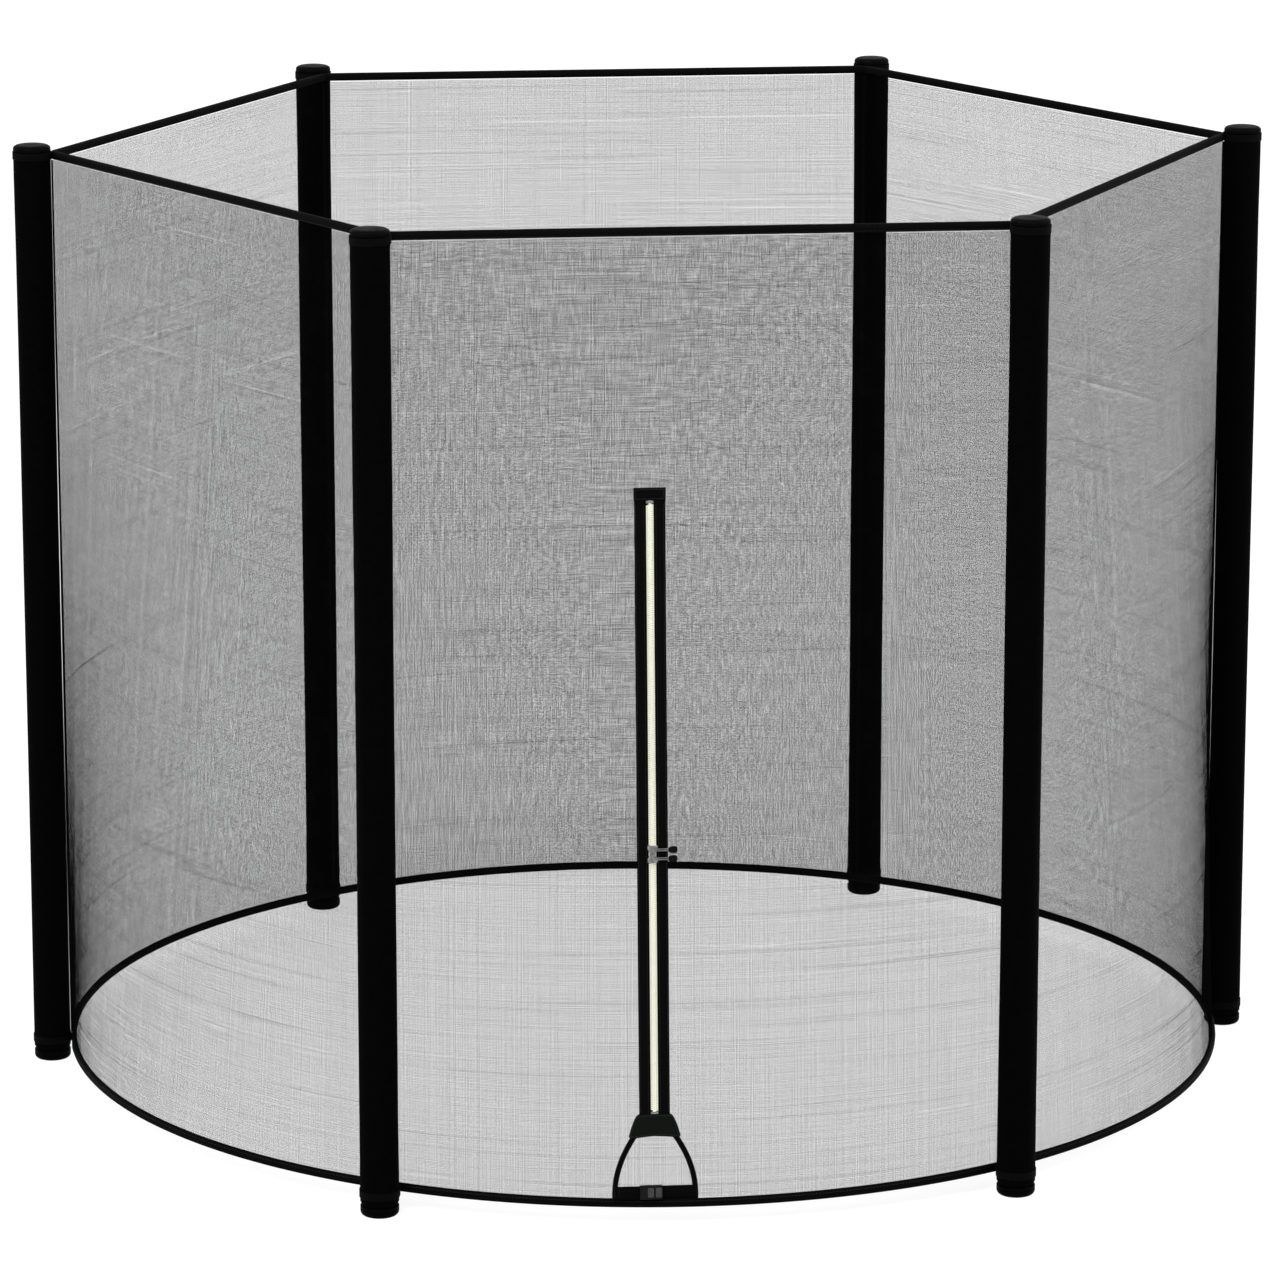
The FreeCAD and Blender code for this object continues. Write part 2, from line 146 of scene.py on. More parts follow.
def wallAngle(number):
    # the turn from -Y to a wall's middle, which stands an odd number of half steps round from +X
    return (2 * number + 1) * stepAngle / 2 + math.pi / 2


def atPole(points, number):
    # points drawn round a pole's own axis, X pointing outwards, set at that pole
    return turned(points + [poleCircle, 0, 0], number * stepAngle)


# Mesh helpers

def unit(vectors):
    # each vector divided by its length
    return vectors / np.linalg.norm(vectors, axis=-1, keepdims=True)


def together(*coordinates):
    # arrays of coordinates spread to one shape and joined into points
    return np.stack(np.broadcast_arrays(*coordinates), -1)


def raised(line, depth):
    # places (across, up) made into points that stand out by a depth
    return together(line[..., 0], depth, line[..., 1])


def circle(count):
    # angles at even steps round a circle
    return np.linspace(0, 2 * math.pi, count, endpoint=False)


def lengths(path):
    # the length of a path from its start up to each of its points
    return np.concatenate([[0], np.cumsum(np.linalg.norm(np.diff(path, axis=0), axis=1))])


def leftOf(run):
    # directions (across, up) turned a quarter to the left
    return together(-run[:, 1], run[:, 0])


def tangentCurve(start, corner, end, t):
    # the parabola from start to end that touches there the lines to the corner
    return (1 - t) ** 2 * start + 2 * t * (1 - t) * corner + t ** 2 * end


def rectangle(left, right, low, high):
    # the four corners (across, up), from the lower left one round to the upper left one
    return np.array([(left, low), (right, low), (right, high), (left, high)])


def mirrored(half, flip):
    # half an outline, and the other half as its mirror image, run backwards
    return np.concatenate([half, np.array(half)[::-1] * flip])


def ringFaces(count, around, closed=False):
    # quads between closed rings of points, and a face over each end unless the last ring joins the first
    a, b = np.meshgrid(np.arange(count if closed else count - 1), np.arange(around), indexing="ij")
    a2, b2 = (a + 1) % count, (b + 1) % around
    faces = [together(a * around + b, a2 * around + b, a2 * around + b2, a * around + b2).reshape(-1, 4)]
    if not closed:
        ring = np.arange(around)
        faces += [ring[None], ring[None, ::-1] + (count - 1) * around]
    return faces


def repeatFaces(faces, size, count):
    # the faces of one solid of so many points, repeated for a count of such solids
    first = np.arange(count)[:, None, None] * size
    return [(part + first).reshape(-1, part.shape[1]) for part in faces]


def loft(rings, uv=None, closed=False):
    # closed rings of points, one after another along a solid
    return rings, ringFaces(*rings.shape[:2], closed), uv


def lathe(profile, sides):
    # a profile of (radius, height) turned round the vertical axis, with a small flat face at either end
    turn, radius = circle(sides), profile[:, :1]
    uv = together(turn * radius.max(), lengths(profile)[:, None])
    return loft(together(radius * np.cos(turn), radius * np.sin(turn), profile[:, 1:]), uv)


def sweep(path, side, out, profile, closed=False):
    # a closed profile of (side, out) offsets carried along a path; side and out may be the same all along it
    side, out = (np.broadcast_to(vector, path.shape)[:, None] for vector in (side, out))
    uv = together(lengths(path)[:, None], lengths(profile))
    return loft(path[:, None] + side * profile[:, :1] + out * profile[:, 1:], uv, closed)


def roundedBar(halfWidth, halfThickness, rounding, steps=4):
    # outline of a flat bar with round corners, as (side, out)
    turn = np.linspace(0, math.pi / 2, steps) + circle(4)[:, None]
    corners = np.array([(1, 1), (-1, 1), (-1, -1), (1, -1)]) * [halfWidth - rounding, halfThickness - rounding]
    return (corners[:, None] + rounding * together(np.cos(turn), np.sin(turn))).reshape(-1, 2)


def oval(steps, halfSide, halfOut, power=1.0):
    # an ellipse, as (side, out), which a power below 1 makes squarer
    turn = circle(steps)
    return together(*(half * np.sign(wave) * np.abs(wave) ** power
                      for half, wave in ((halfSide, np.cos(turn)), (halfOut, np.sin(turn)))))


def bars(starts, ends, out, width, thickness):
    # short straight bars between pairs of points, as for stitches: pointed ends, and between them two
    # diamonds, a quarter of the length from either end
    turn, quarter = circle(4)[:, None], (ends - starts)[:, None] / 4
    out = np.broadcast_to(out, starts.shape)[:, None]
    side = np.cross(unit(quarter), out)
    ring = side * np.cos(turn) * width / 2 + out * np.sin(turn) * thickness / 2
    points = np.concatenate([starts[:, None], starts[:, None] + quarter + ring, ends[:, None] - quarter + ring,
                             ends[:, None]], 1)
    here = np.arange(1, 5)
    after = here % 4 + 1
    walls = together(here, after, after + 4, here + 4)
    tips = np.concatenate([together(0, after, here), together(9, here + 4, after + 4)])
    return points, repeatFaces([walls, tips], 10, len(starts)), None


def insetOutline(outline, inset):
    # each corner moved inwards along the mitre of its two edges
    before = outline - np.roll(outline, 1, 0)
    after = np.roll(outline, -1, 0) - outline
    first, second = (unit(-leftOf(edge)) for edge in (before, after))
    mitre = (first + second) / (1 + (first * second).sum(1, keepdims=True))
    area = (outline[:, 0] * (after + before)[:, 1]).sum()
    return outline - mitre * inset * np.sign(area)


def layers(outline, rows):
    # an outline of (across, up) repeated at rows of (inset, depth)
    rings = np.stack([raised(insetOutline(outline, inset), depth) for inset, depth in rows])
    return loft(rings, rings[..., [0, 2]])


def bevelledPlate(outline, low, high, bevel, steps=3):
    # an outline of (across, up) between two depths, its edges rounded by quarter circles
    rows = [(bevel * (1 - math.sin(turn)), bevel * (1 - math.cos(turn)))
            for turn in np.linspace(0, math.pi / 2, steps)]
    return layers(outline, [(inset, low + depth) for inset, depth in rows]
                  + [(inset, high - depth) for inset, depth in rows[::-1]])


def roundedOutline(corners, radius, steps=4):
    # every corner of a polygon replaced by a short curve that is tangent to both of its edges
    before, after = (corners + unit(np.roll(corners, step, 0) - corners) * radius for step in (1, -1))
    t = np.linspace(0, 1, steps)[:, None]
    return tangentCurve(before[:, None], corners[:, None], after[:, None], t).reshape(-1, 2)


def placed(solids, place, *rest):
    # the solids with their points put where the function says; their UVs stay as drawn
    return [(place(points, *rest), faces, uv) for points, faces, uv in solids]


def atEveryPole(solid):
    # the solid once for each pole, turned by equal steps
    return [placed([solid], atPole, number)[0] for number in range(len(poleNames))]


def stitchLine(path, out, look, first, last, lift=0.0, flatness=0.7):
    # dashes along a path, from a length after its start to one before its end; they lie on the path moved by
    # lift, and are as thick as a share of their width
    along = lengths(path)
    starts = np.arange(first, along[-1] - last, look["stitch"] + look["stitchGap"])

    def at(values, distance):
        values = np.broadcast_to(values, path.shape)
        return np.stack([np.interp(distance, along, column) for column in values.T], -1)

    width = look["stitchWidth"]
    return bars(at(path + lift, starts), at(path + lift, starts + look["stitch"]), at(out, starts), width,
                width * flatness)


def signedVolume(points, faces):
    # sum of the tetrahedra between the origin and each face, cut into a fan
    return sum(np.einsum("ij,ij->", points[part[:, 0]], np.cross(points[part[:, k]], points[part[:, k + 1]]))
               for part in faces for k in range(1, part.shape[1] - 1))


def makePiece(name, solids, material, body="enclosure", replaced=(), sharp=None, smooth=True):
    # one mesh of closed solids, each with its faces turned outwards, riding on a body; faces that meet at
    # more than the sharp angle keep a hard edge
    corners, faces, uvs, count = [], [], [], 0
    for points, parts, uv in solids:
        points = points.reshape(-1, 3)
        uv = points[:, [0, 2]] if uv is None else uv.reshape(-1, 2)
        order = -1 if signedVolume(points, parts) < 0 else 1
        for part in parts:
            faces.append(part[:, ::order] + count)
            uvs.append(uv[part[:, ::order]].ravel())
        corners.append(points.ravel())
        count += len(points)
    loops = np.concatenate([part.ravel() for part in faces])
    totals = np.concatenate([np.full(len(part), part.shape[1]) for part in faces])
    mesh = bpy.data.meshes.new(name)
    mesh.vertices.add(count)
    mesh.vertices.foreach_set("co", np.concatenate(corners))
    mesh.loops.add(len(loops))
    mesh.loops.foreach_set("vertex_index", loops)
    mesh.polygons.add(len(totals))
    mesh.polygons.foreach_set("loop_start", np.cumsum(totals) - totals)
    mesh.polygons.foreach_set("use_smooth", np.full(len(totals), smooth))
    mesh.update(calc_edges=True)
    mesh.uv_layers.new(name="UVMap").data.foreach_set("uv", np.concatenate(uvs))
    mesh.validate()
    mesh.materials.append(materials[material])
    if sharp:
        mesh.set_sharp_from_angle(angle=math.radians(sharp))
    piece = addObject(name, mesh)
    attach(piece, body)
    if replaced:
        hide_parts(*replaced)
    return piece


print("helpers ready")


# Effects shared by several materials

weaveLook = {"mottleScale": 60.0, "mottleDetail": 3.0, "shadePower": 0.7, "roughness": 0.85, "polish": 0.2}
grainLook = {"grainDetail": 2.0, "scuffDetail": 6.0, "scuffStart": 0.52, "scuffContrast": 6.0, "roughness": 0.42,
             "scuffRoughness": 0.35}


def grey(level):
    return (level, level, level, 1)


def feed(tree, slot, value):
    # a socket is linked to the slot, and a number or colour is set on it
    if isinstance(value, bpy.types.NodeSocket):
        tree.links.new(value, slot)
    else:
        slot.default_value = value


def mathNode(tree, operation, *values, clamp=False):
    # the values, sockets or numbers, put through one operation
    node = tree.nodes.new("ShaderNodeMath")
    node.operation = operation
    node.use_clamp = clamp
    for slot, value in zip(node.inputs, values):
        feed(tree, slot, value)
    return node.outputs[0]


def mixColour(tree, factor, first, second):
    # the first colour where the factor is 0 and the second where it is 1
    node = tree.nodes.new("ShaderNodeMix")
    node.data_type = "RGBA"
    for slot, value in ((0, factor), (6, first), (7, second)):  # the node's sockets for colours
        feed(tree, node.inputs[slot], value)
    return node.outputs[2]


def noiseNode(tree, vector, scale, detail):
    node = tree.nodes.new("ShaderNodeTexNoise")
    for slot, value in (("Vector", vector), ("Scale", scale), ("Detail", detail)):
        feed(tree, node.inputs[slot], value)
    return node.outputs[0]


def newGroup(name, given):
    # an empty node group with its named inputs, whose kinds follow from their values, and the three outputs
    # that a material takes
    group = bpy.data.node_groups.new(name, "ShaderNodeTree")
    kinds = {type(None): "Vector", tuple: "Color", float: "Float"}
    for socket, value in given.items():
        made = group.interface.new_socket(name=socket, in_out="INPUT", socket_type="NodeSocket" + kinds[type(value)])
        if value is not None:
            made.default_value = value
    for socket, kind in (("Colour", "Color"), ("Height", "Float"), ("Roughness", "Float")):
        group.interface.new_socket(name=socket, in_out="OUTPUT", socket_type="NodeSocket" + kind)
    return group, group.nodes.new("NodeGroupInput").outputs, group.nodes.new("NodeGroupOutput").inputs


def weaveGroup(look):
    # plain weave on a UV in metres: two crossed rows of rounded threads that pass over each other in turn; height is
    # the higher of the two, and the gaps are darkened as painted shade
    group, given, result = newGroup("plainWeave", {
        "UV": None, "Threads": 700.0, "Colour": grey(0.02), "Gap Colour": grey(0.005), "Unevenness": 0.3})
    calc = partial(mathNode, group)
    split = group.nodes.new("ShaderNodeSeparateXYZ")
    group.links.new(given["UV"], split.inputs[0])
    across, along = (calc("MULTIPLY", part, given["Threads"]) for part in split.outputs[:2])

    def thread(run, other):
        # a rounded thread, lifted and lowered along its length by the threads that it crosses
        crest = calc("ABSOLUTE", calc("SINE", calc("MULTIPLY", run, math.pi)))
        phase = calc("ADD", calc("MULTIPLY", other, math.pi), calc("MULTIPLY", calc("FLOOR", run), math.pi))
        return calc("MULTIPLY", crest, calc("MULTIPLY_ADD", calc("SINE", phase), 0.5, 0.5))

    height = calc("MAXIMUM", thread(across, along), thread(along, across))
    mottle = noiseNode(group, given["UV"], look["mottleScale"], look["mottleDetail"])
    uneven = calc("MULTIPLY", calc("SUBTRACT", mottle, 0.5), given["Unevenness"])
    shade = calc("ADD", calc("POWER", height, look["shadePower"]), uneven, clamp=True)
    # painted shade: where the threads are low the colour falls to the gap colour; the mottle on top is random tone
    feed(group, result["Colour"], mixColour(group, shade, given["Gap Colour"], given["Colour"]))
    feed(group, result["Height"], height)
    feed(group, result["Roughness"],
         calc("SUBTRACT", look["roughness"], calc("MULTIPLY", height, look["polish"])))
    return group


def wearGroup(look):
    # fine and broad noise on object coordinates: a mask of scuffs, a mottled colour and a grain height
    group, given, result = newGroup("mouldedGrain", {
        "Colour": grey(0.02), "Worn Colour": grey(0.05), "Grain Scale": 1500.0, "Scuff Scale": 60.0, "Scuffs": 0.4})
    calc = partial(mathNode, group)
    place = group.nodes.new("ShaderNodeTexCoord").outputs["Object"]
    grain = noiseNode(group, place, given["Grain Scale"], look["grainDetail"])
    scuff = noiseNode(group, place, given["Scuff Scale"], look["scuffDetail"])
    mask = calc("MULTIPLY", calc("SUBTRACT", scuff, look["scuffStart"]), look["scuffContrast"], clamp=True)
    mask = calc("MULTIPLY", mask, given["Scuffs"])
    feed(group, result["Colour"], mixColour(group, mask, given["Colour"], given["Worn Colour"]))
    feed(group, result["Height"], grain)
    feed(group, result["Roughness"],
         calc("ADD", look["roughness"], calc("MULTIPLY", mask, look["scuffRoughness"])))
    return group


plainWeave = weaveGroup(weaveLook)
mouldedGrain = wearGroup(grainLook)


def newMaterial(name, group, sockets, bump, depth, specular, metallic=0.0):
    # a Principled shader fed by one of the groups, with a bump from the group's height
    material = bpy.data.materials.new(name)
    material.use_nodes = True
    tree = material.node_tree
    shader = tree.nodes["Principled BSDF"].inputs
    node = tree.nodes.new("ShaderNodeGroup")
    node.node_tree = group
    for socket, value in sockets.items():
        node.inputs[socket].default_value = value
    if "UV" in node.inputs:
        uv = tree.nodes.new("ShaderNodeUVMap")
        uv.uv_map = "UVMap"
        tree.links.new(uv.outputs[0], node.inputs["UV"])
    bumped = tree.nodes.new("ShaderNodeBump")
    for slot, value in ((bumped.inputs["Strength"], bump), (bumped.inputs["Distance"], depth),
                        (bumped.inputs["Height"], node.outputs["Height"]),
                        (shader["Base Color"], node.outputs["Colour"]),
                        (shader["Roughness"], node.outputs["Roughness"]), (shader["Normal"], bumped.outputs[0]),
                        (shader["Specular IOR Level"], specular), (shader["Metallic"], metallic)):
        feed(tree, slot, value)
    return material


# Cloth: threads to a metre, colour, painted shade colour in the gaps, unevenness, bump and its depth, specular level
clothSockets = ("Threads", "Colour", "Gap Colour", "Unevenness")
clothLooks = {
    "sleeveCloth": (520.0, grey(0.0020), grey(0.0004), 0.9, 0.35, 0.0004, 0.01),
    "webbing": (450.0, grey(0.0026), grey(0.0006), 0.5, 0.5, 0.0005, 0.03),
    "tapeCloth": (900.0, grey(0.0026), grey(0.0008), 0.3, 0.4, 0.0003, 0.03),
    "patchCloth": (600.0, (0.0030, 0.0052, 0.0034, 1), grey(0.001), 0.8, 0.4, 0.0004, 0.08),
}
# Plastic, metal and thread: colour, colour where it is worn, scale of the grain, scale and amount of the
# scuffs, bump and its depth, specular level, metallic
mouldedSockets = ("Colour", "Worn Colour", "Grain Scale", "Scuff Scale", "Scuffs")
mouldedLooks = {
    "netThread": (grey(0.0024), grey(0.006), 900.0, 25.0, 0.4, 0.2, 0.0002, 0.0),
    "capPlastic": (grey(0.0024), grey(0.006), 1800.0, 40.0, 0.5, 0.12, 0.0002, 0.01),
    "footRubber": (grey(0.0012), grey(0.0035), 1400.0, 30.0, 0.7, 0.15, 0.0002, 0.01),
    "bucklePlastic": (grey(0.005), grey(0.014), 2500.0, 90.0, 0.7, 0.10, 0.0001, 0.08),
    # the buckle pads' light grey is a painted highlight; their worn colour is random scuffs
    "gripPlastic": (grey(0.050), grey(0.085), 2500.0, 160.0, 0.8, 0.15, 0.0001, 0.2),
    "pullPlastic": (grey(0.0016), grey(0.005), 3000.0, 120.0, 0.6, 0.12, 0.0001, 0.06),
    "teethPlastic": ((0.94, 0.94, 0.78, 1), (0.80, 0.79, 0.63, 1), 3000.0, 70.0, 0.3, 0.05, 0.0001, 0.5),
    "sliderMetal": (grey(0.20), grey(0.42), 2500.0, 150.0, 0.7, 0.10, 0.0001, 0.5, 0.9),
    "tubeSteel": (grey(0.55), grey(0.70), 400.0, 30.0, 0.8, 0.05, 0.0002, 0.5, 1.0),
    "stitchThread": (grey(0.012), grey(0.03), 4000.0, 200.0, 0.5, 0.2, 0.0001, 0.5),
}
materials = {}  # by the names above; a name in bpy.data may be that of the frame's own material
for group, sockets, looks in ((plainWeave, clothSockets, clothLooks), (mouldedGrain, mouldedSockets, mouldedLooks)):
    for name, values in looks.items():
        materials[name] = newMaterial(name, group, dict(zip(sockets, values)), *values[len(sockets):])
print("materials ready:", len(bpy.data.materials))


# Pole sleeves: a foam tube in a sewn cover

sleeve = {
    "sides": 72,
    "rows": 220,
    "edge": 0.005,  # rounding of the cover at both ends
    "bore": 0.0194,
    "turnIn": 0.02,  # run of the weave over each end
    "wrinkle": 0.0007,
    "waves": ((2, 0.5), (3, 0.3), (5, 0.2)),  # ripples round the pole, with their shares
    "waveRate": 7,  # most turn of a ripple, in radians for a metre of height
    "smoothEnd": 0.06,  # the ripples start here, and are full at three times as far from the end
    "seamWidth": 0.006,
    "seamHeight": 0.00054,
    "seed": 10,
}


def sleeveShape(look, seed):
    # radius is the sleeve's, less a quarter round at each end, with shallow upright ripples from three
    # sine waves and a raised seam along the side that faces the net; the foam's bore closes the solid
    rng = np.random.default_rng(seed)
    low, high, edge = sleeveLow.z, sleeveHigh.z, look["edge"]
    turn = circle(look["sides"])
    height = np.linspace(low, high, look["rows"])[:, None]
    fromEnd = np.minimum(height - low, high - height)
    taper = edge - np.sqrt(edge ** 2 - np.clip(edge - fromEnd, 0, edge) ** 2)
    inside = np.clip(fromEnd / look["smoothEnd"] / 2 - 0.5, 0, 1)
    phases, rates = rng.uniform(0, 6.28, 3), rng.uniform(-look["waveRate"], look["waveRate"], 3)
    ripple = sum(np.sin(count * turn + phase + height * rate) * share
                 for (count, share), phase, rate in zip(look["waves"], phases, rates))
    fromSeam = np.abs(turn - math.pi) * sleeveRadius
    seamRise = look["seamHeight"] * np.clip(1 - (fromSeam / (look["seamWidth"] / 2)) ** 2, 0, 1)
    radius = sleeveRadius - taper - inside * (look["wrinkle"] * (1 + ripple) - seamRise)
    rings = [together(radius * np.cos(turn), radius * np.sin(turn), height)]
    rings += [together(look["bore"] * np.cos(turn), look["bore"] * np.sin(turn), end)[None] for end in (high, low)]
    run = np.concatenate([height, [[high + look["turnIn"]], [low - look["turnIn"]]]])
    return loft(np.concatenate(rings), together(turn * sleeveRadius, run), closed=True)


for number, name in enumerate(poleNames):
    solid = sleeveShape(sleeve, sleeve["seed"] + number)
    piece = makePiece("sleeve_" + name, placed([solid], atPole, number), "sleeveCloth",
                      replaced=["foam_sleeve_" + name], sharp=50)
print("pole sleeves made")


# Caps and feet: one lathed profile each, repeated at every pole

axisGap = 0.0001  # radius of the small flat face where a lathed profile ends
cap = {
    "rim": 0.0384,
    "lip": 0.005,
    "rounding": 0.0125,
    "domeShare": 0.86,  # of the height above the lip
    "steps": 9,
    "sides": 72,
    # corners of (radius, height), from the rim's lower edge, from the top of the lip and from the cap's top
    "underEdge": [(-0.001, 0.0), (0.0, 0.0008)],
    "groove": [(0.0, -0.0016), (-0.0008, -0.0012), (-0.0008, -0.0004)],
    "crown": [(0.019, -0.0012), (0.010, -0.0003), (axisGap, 0.0)],
}
foot = {
    "inset": 0.0002,
    "rounding": 0.009,
    "grooveHeight": 0.013,
    "steps": 7,
    "sides": 72,
    # corners of (radius, height), from the groove's middle and from the foot's upper edge
    "groove": [(0.0, -0.0006), (-0.0009, -0.0003), (-0.0009, 0.0003), (0.0, 0.0006)],
    "topEdge": [(0.0, -0.001), (-0.001, 0.0)],
}


def capProfile(look):
    # a flat underside, an upright lip with a fine groove above it, and a dome: a quarter ellipse to the top
    low, high, rim = sleeveHigh.z + clearance, capHigh.z, look["rim"]
    shoulder = low + look["lip"]
    turn = np.linspace(0, math.pi / 2, look["steps"])
    dome = together(rim - look["rounding"] * (1 - np.cos(turn)),
                    shoulder + (high - shoulder) * look["domeShare"] * np.sin(turn))
    return np.concatenate([[(axisGap, low)], np.add(look["underEdge"], (rim, low)),
                           np.add(look["groove"], (rim, shoulder)), dome, np.add(look["crown"], (0, high))])


def footProfile(look):
    # a flat tread with a quarter round at its edge, and a fine groove under the sleeve
    side, high = sleeveRadius - look["inset"], sleeveLow.z - clearance
    turn = np.linspace(-math.pi / 2, 0, look["steps"])
    tread = together(side - look["rounding"] * (1 - np.cos(turn)), look["rounding"] * (1 + np.sin(turn)))
    return np.concatenate([[(axisGap, 0.0)], tread, np.add(look["groove"], (side, look["grooveHeight"])),
                           np.add(look["topEdge"], (side, high)), [(axisGap, high)]])


for name, node, profile, look, material in (("poleCaps", "pole_caps", capProfile(cap), cap, "capPlastic"),
                                            ("poleFeet", "pole_feet", footProfile(foot), foot, "footRubber")):
    makePiece(name, atEveryPole(lathe(profile, look["sides"])), material, replaced=[node], sharp=40)
print("caps and feet made")


# Net walls: real threads on the ruled surface between the straight rope and the round hoop

net = {
    "rowPitch": 0.001,
    "columnPitch": 0.001,
    "rowThread": 0.00027,  # width of the threads that run across
    "rowDepth": 1.2,  # depth of a thread as a share of its width
    "columnThread": 0.00025,
    "columnDepth": 0.15,
    "segments": 14,
    "unevenWidth": 0.08,
    "rowUneven": (0.6, 0.8),  # parts of a row's unevenness that stay the same along it, and that change
    "mostUneven": (2, 2.5),  # for columns and rows, in standard deviations
    "unevenPlace": 0.34,  # share of the pitch, as wander
    "wander": 0.30,
    "endMargin": 0.3,
    "behindDoor": 0.0008,
    "slitHalfWidth": 0.012,
    "thinStretches": 5,  # places where a few rows' threads are thin along a part of the wall
    "thinRows": 3,
    "thinRun": (3, 6),  # segments, from and below
    "thinShare": 0.35,
    "thinTop": 40,  # rows under the top that stay as they are
    "thickStretches": 110,
    "thickRows": (4, 9),
    "thickRun": (3, 9),
    "thickShare": (1.05, 1.25),
    "thickEnd": 20,
    "areaSteps": 41,
    "seed": 4,
}
doorMiddle = float(doorFoot[0])
doorPlaneY = float(doorFoot[1] + doorUp[1] / doorUp[2] * (netBottom - doorFoot[2]))


def wallSurface(u, v, front=False):
    # straight line from a point of the hoop's arc to the like point of the rope: u is -1 to 1 across the
    # wall and v is 0 to 1 up it; on the front wall the arc stays behind the door's plane
    u, v = np.broadcast_arrays(u, v)
    turn = u * endAngle - math.pi / 2
    low = together(hoopRadius * np.cos(turn), hoopRadius * np.sin(turn), netBottom)
    if front:
        low[..., 1] = np.maximum(low[..., 1], doorPlaneY + net["behindDoor"])
    top = together(u * ropeHalfSpan, -ropeApothem, netTop)
    v = v[..., None]
    out = low * [1, 1, 0] / hoopRadius * (1 - v) + np.array([0, -1, 0]) * v
    return low + (top - low) * v, unit(out)


def acrossToU(x, v):
    # the share of the half width at which the wall reaches a distance x from its middle
    return x / (hoopRadius * endAngle * (1 - v) + ropeHalfSpan * v)


def threadPrisms(paths, outs, widths, depth):
    # three-sided prisms along many paths at once, flat side inwards, closed with a triangle at each end;
    # depth is the prism's depth as a share of its width, and the width may change along a thread
    count, steps = paths.shape[:2]
    width = widths[..., None]
    side = unit(np.cross(np.gradient(paths, axis=1), outs)) * width / 2
    inner, outer = outs * width * depth / 3, outs * width * depth * 2 / 3
    corners = np.stack([paths - side - inner, paths + side - inner, paths + outer], 2)
    return corners, repeatFaces(ringFaces(steps, 3), steps * 3, count), corners[..., [0, 2]]


def netShape(look, front, seed):
    # rows and columns of threads, each a little uneven in place and width; the door wall's threads stop at
    # the zip
    rng = np.random.default_rng(seed)
    columns = round(2 * ropeHalfSpan / look["columnPitch"])
    rows = round((netTop - netBottom) / look["rowPitch"])
    segments, uneven, wander, margin = (look[key] for key in ("segments", "unevenPlace", "wander", "endMargin"))
    steady, changing = look["rowUneven"]
    mostColumn, mostRow = look["mostUneven"]
    u = -1 + 2 * (np.arange(columns) + 0.5 + rng.uniform(-uneven, uneven, columns)) / columns
    v = (np.arange(rows) + 0.5 + rng.uniform(-uneven, uneven, rows)).clip(margin, rows - margin) / rows
    columnWidth = rng.standard_normal((columns, 1)).clip(-mostColumn, mostColumn)
    columnWidth = look["columnThread"] * (1 + look["unevenWidth"] * columnWidth)
    rowWidth = rng.standard_normal((rows, 1)) * steady + rng.standard_normal((rows, segments + 1)) * changing
    rowWidth = look["rowThread"] * (1 + look["unevenWidth"] * rowWidth.clip(-mostRow, mostRow))
    sway = rng.uniform(-wander, wander, (rows, segments + 1)) / rows
    drift = rng.uniform(-wander, wander, (columns, 3)) * 2 / columns
    for _ in range(look["thinStretches"]):
        low, first = rng.integers(rows * 2 // 3, rows - look["thinTop"]), rng.integers(segments - 3)
        rowWidth[low:low + look["thinRows"], first:first + rng.integers(*look["thinRun"])] *= look["thinShare"]
    for _ in range(look["thickStretches"]):
        low, first = rng.integers(look["thickEnd"], rows - look["thickEnd"]), rng.integers(segments - 2)
        rowWidth[low:low + rng.integers(*look["thickRows"]),
                 first:first + rng.integers(*look["thickRun"])] *= rng.uniform(*look["thickShare"])

    def across(chosen, start, end, first=0, last=segments):
        # the chosen rows between two values of u, over some of their segments
        start, end = np.reshape(start, (-1, 1)), np.reshape(end, (-1, 1))
        span = start + (end - start) * np.linspace(0, 1, last - first + 1)
        points, outs = wallSurface(span, v[chosen, None] + sway[chosen, first:last + 1], front)
        return threadPrisms(points, outs, rowWidth[chosen, first:last + 1], look["rowDepth"])

    def upwards(chosen, start, end):
        # the chosen columns between two values of v
        points, outs = wallSurface(u[chosen, None] + drift[chosen], np.linspace(start, end, 3), front)
        return threadPrisms(points, outs, columnWidth[chosen], look["columnDepth"])

    half = look["slitHalfWidth"]
    slitLow, slitHigh = ((onDoor([0, 0, end])[2] - netBottom) / (netTop - netBottom) for end in (chainBottom, chainTop))
    cut = front & (v > slitLow) & (v < slitHigh)
    middle = front & (np.abs(u - acrossToU(doorMiddle, 0.5)) * ropeHalfSpan < half)
    return [across(~cut, -1, 1), across(cut, -1, acrossToU(doorMiddle - half, v[cut]), 0, segments // 2),
            across(cut, acrossToU(doorMiddle + half, v[cut]), 1, segments // 2),
            upwards(~middle, 0, 1), upwards(middle, 0, slitLow), upwards(middle, slitHigh, 1)]


def wallArea(front, steps):
    # area of the ruled surface, summed over a grid
    points, _ = wallSurface(np.linspace(-1, 1, steps), np.linspace(0, 1, steps)[:, None], front)
    corner = points[:-1, :-1]
    return float(np.linalg.norm(np.cross(points[1:, :-1] - corner, points[:-1, 1:] - corner), axis=-1).sum())


for number, name in enumerate(wallNames):
    front = name == "front"
    solids = placed(netShape(net, front, net["seed"] + number), turned, wallAngle(number))
    piece = makePiece("netWall_" + name, solids, "netThread", replaced=["net_" + name], smooth=False)
    cutWidth, cutLength = 2 * hoopRadius * endAngle, netTop - netBottom
    area = min(wallArea(front, net["areaSteps"]), cutWidth * cutLength)
print("net walls made")


# Rope and hoop: webbing sewn round a core, with a line of stitches

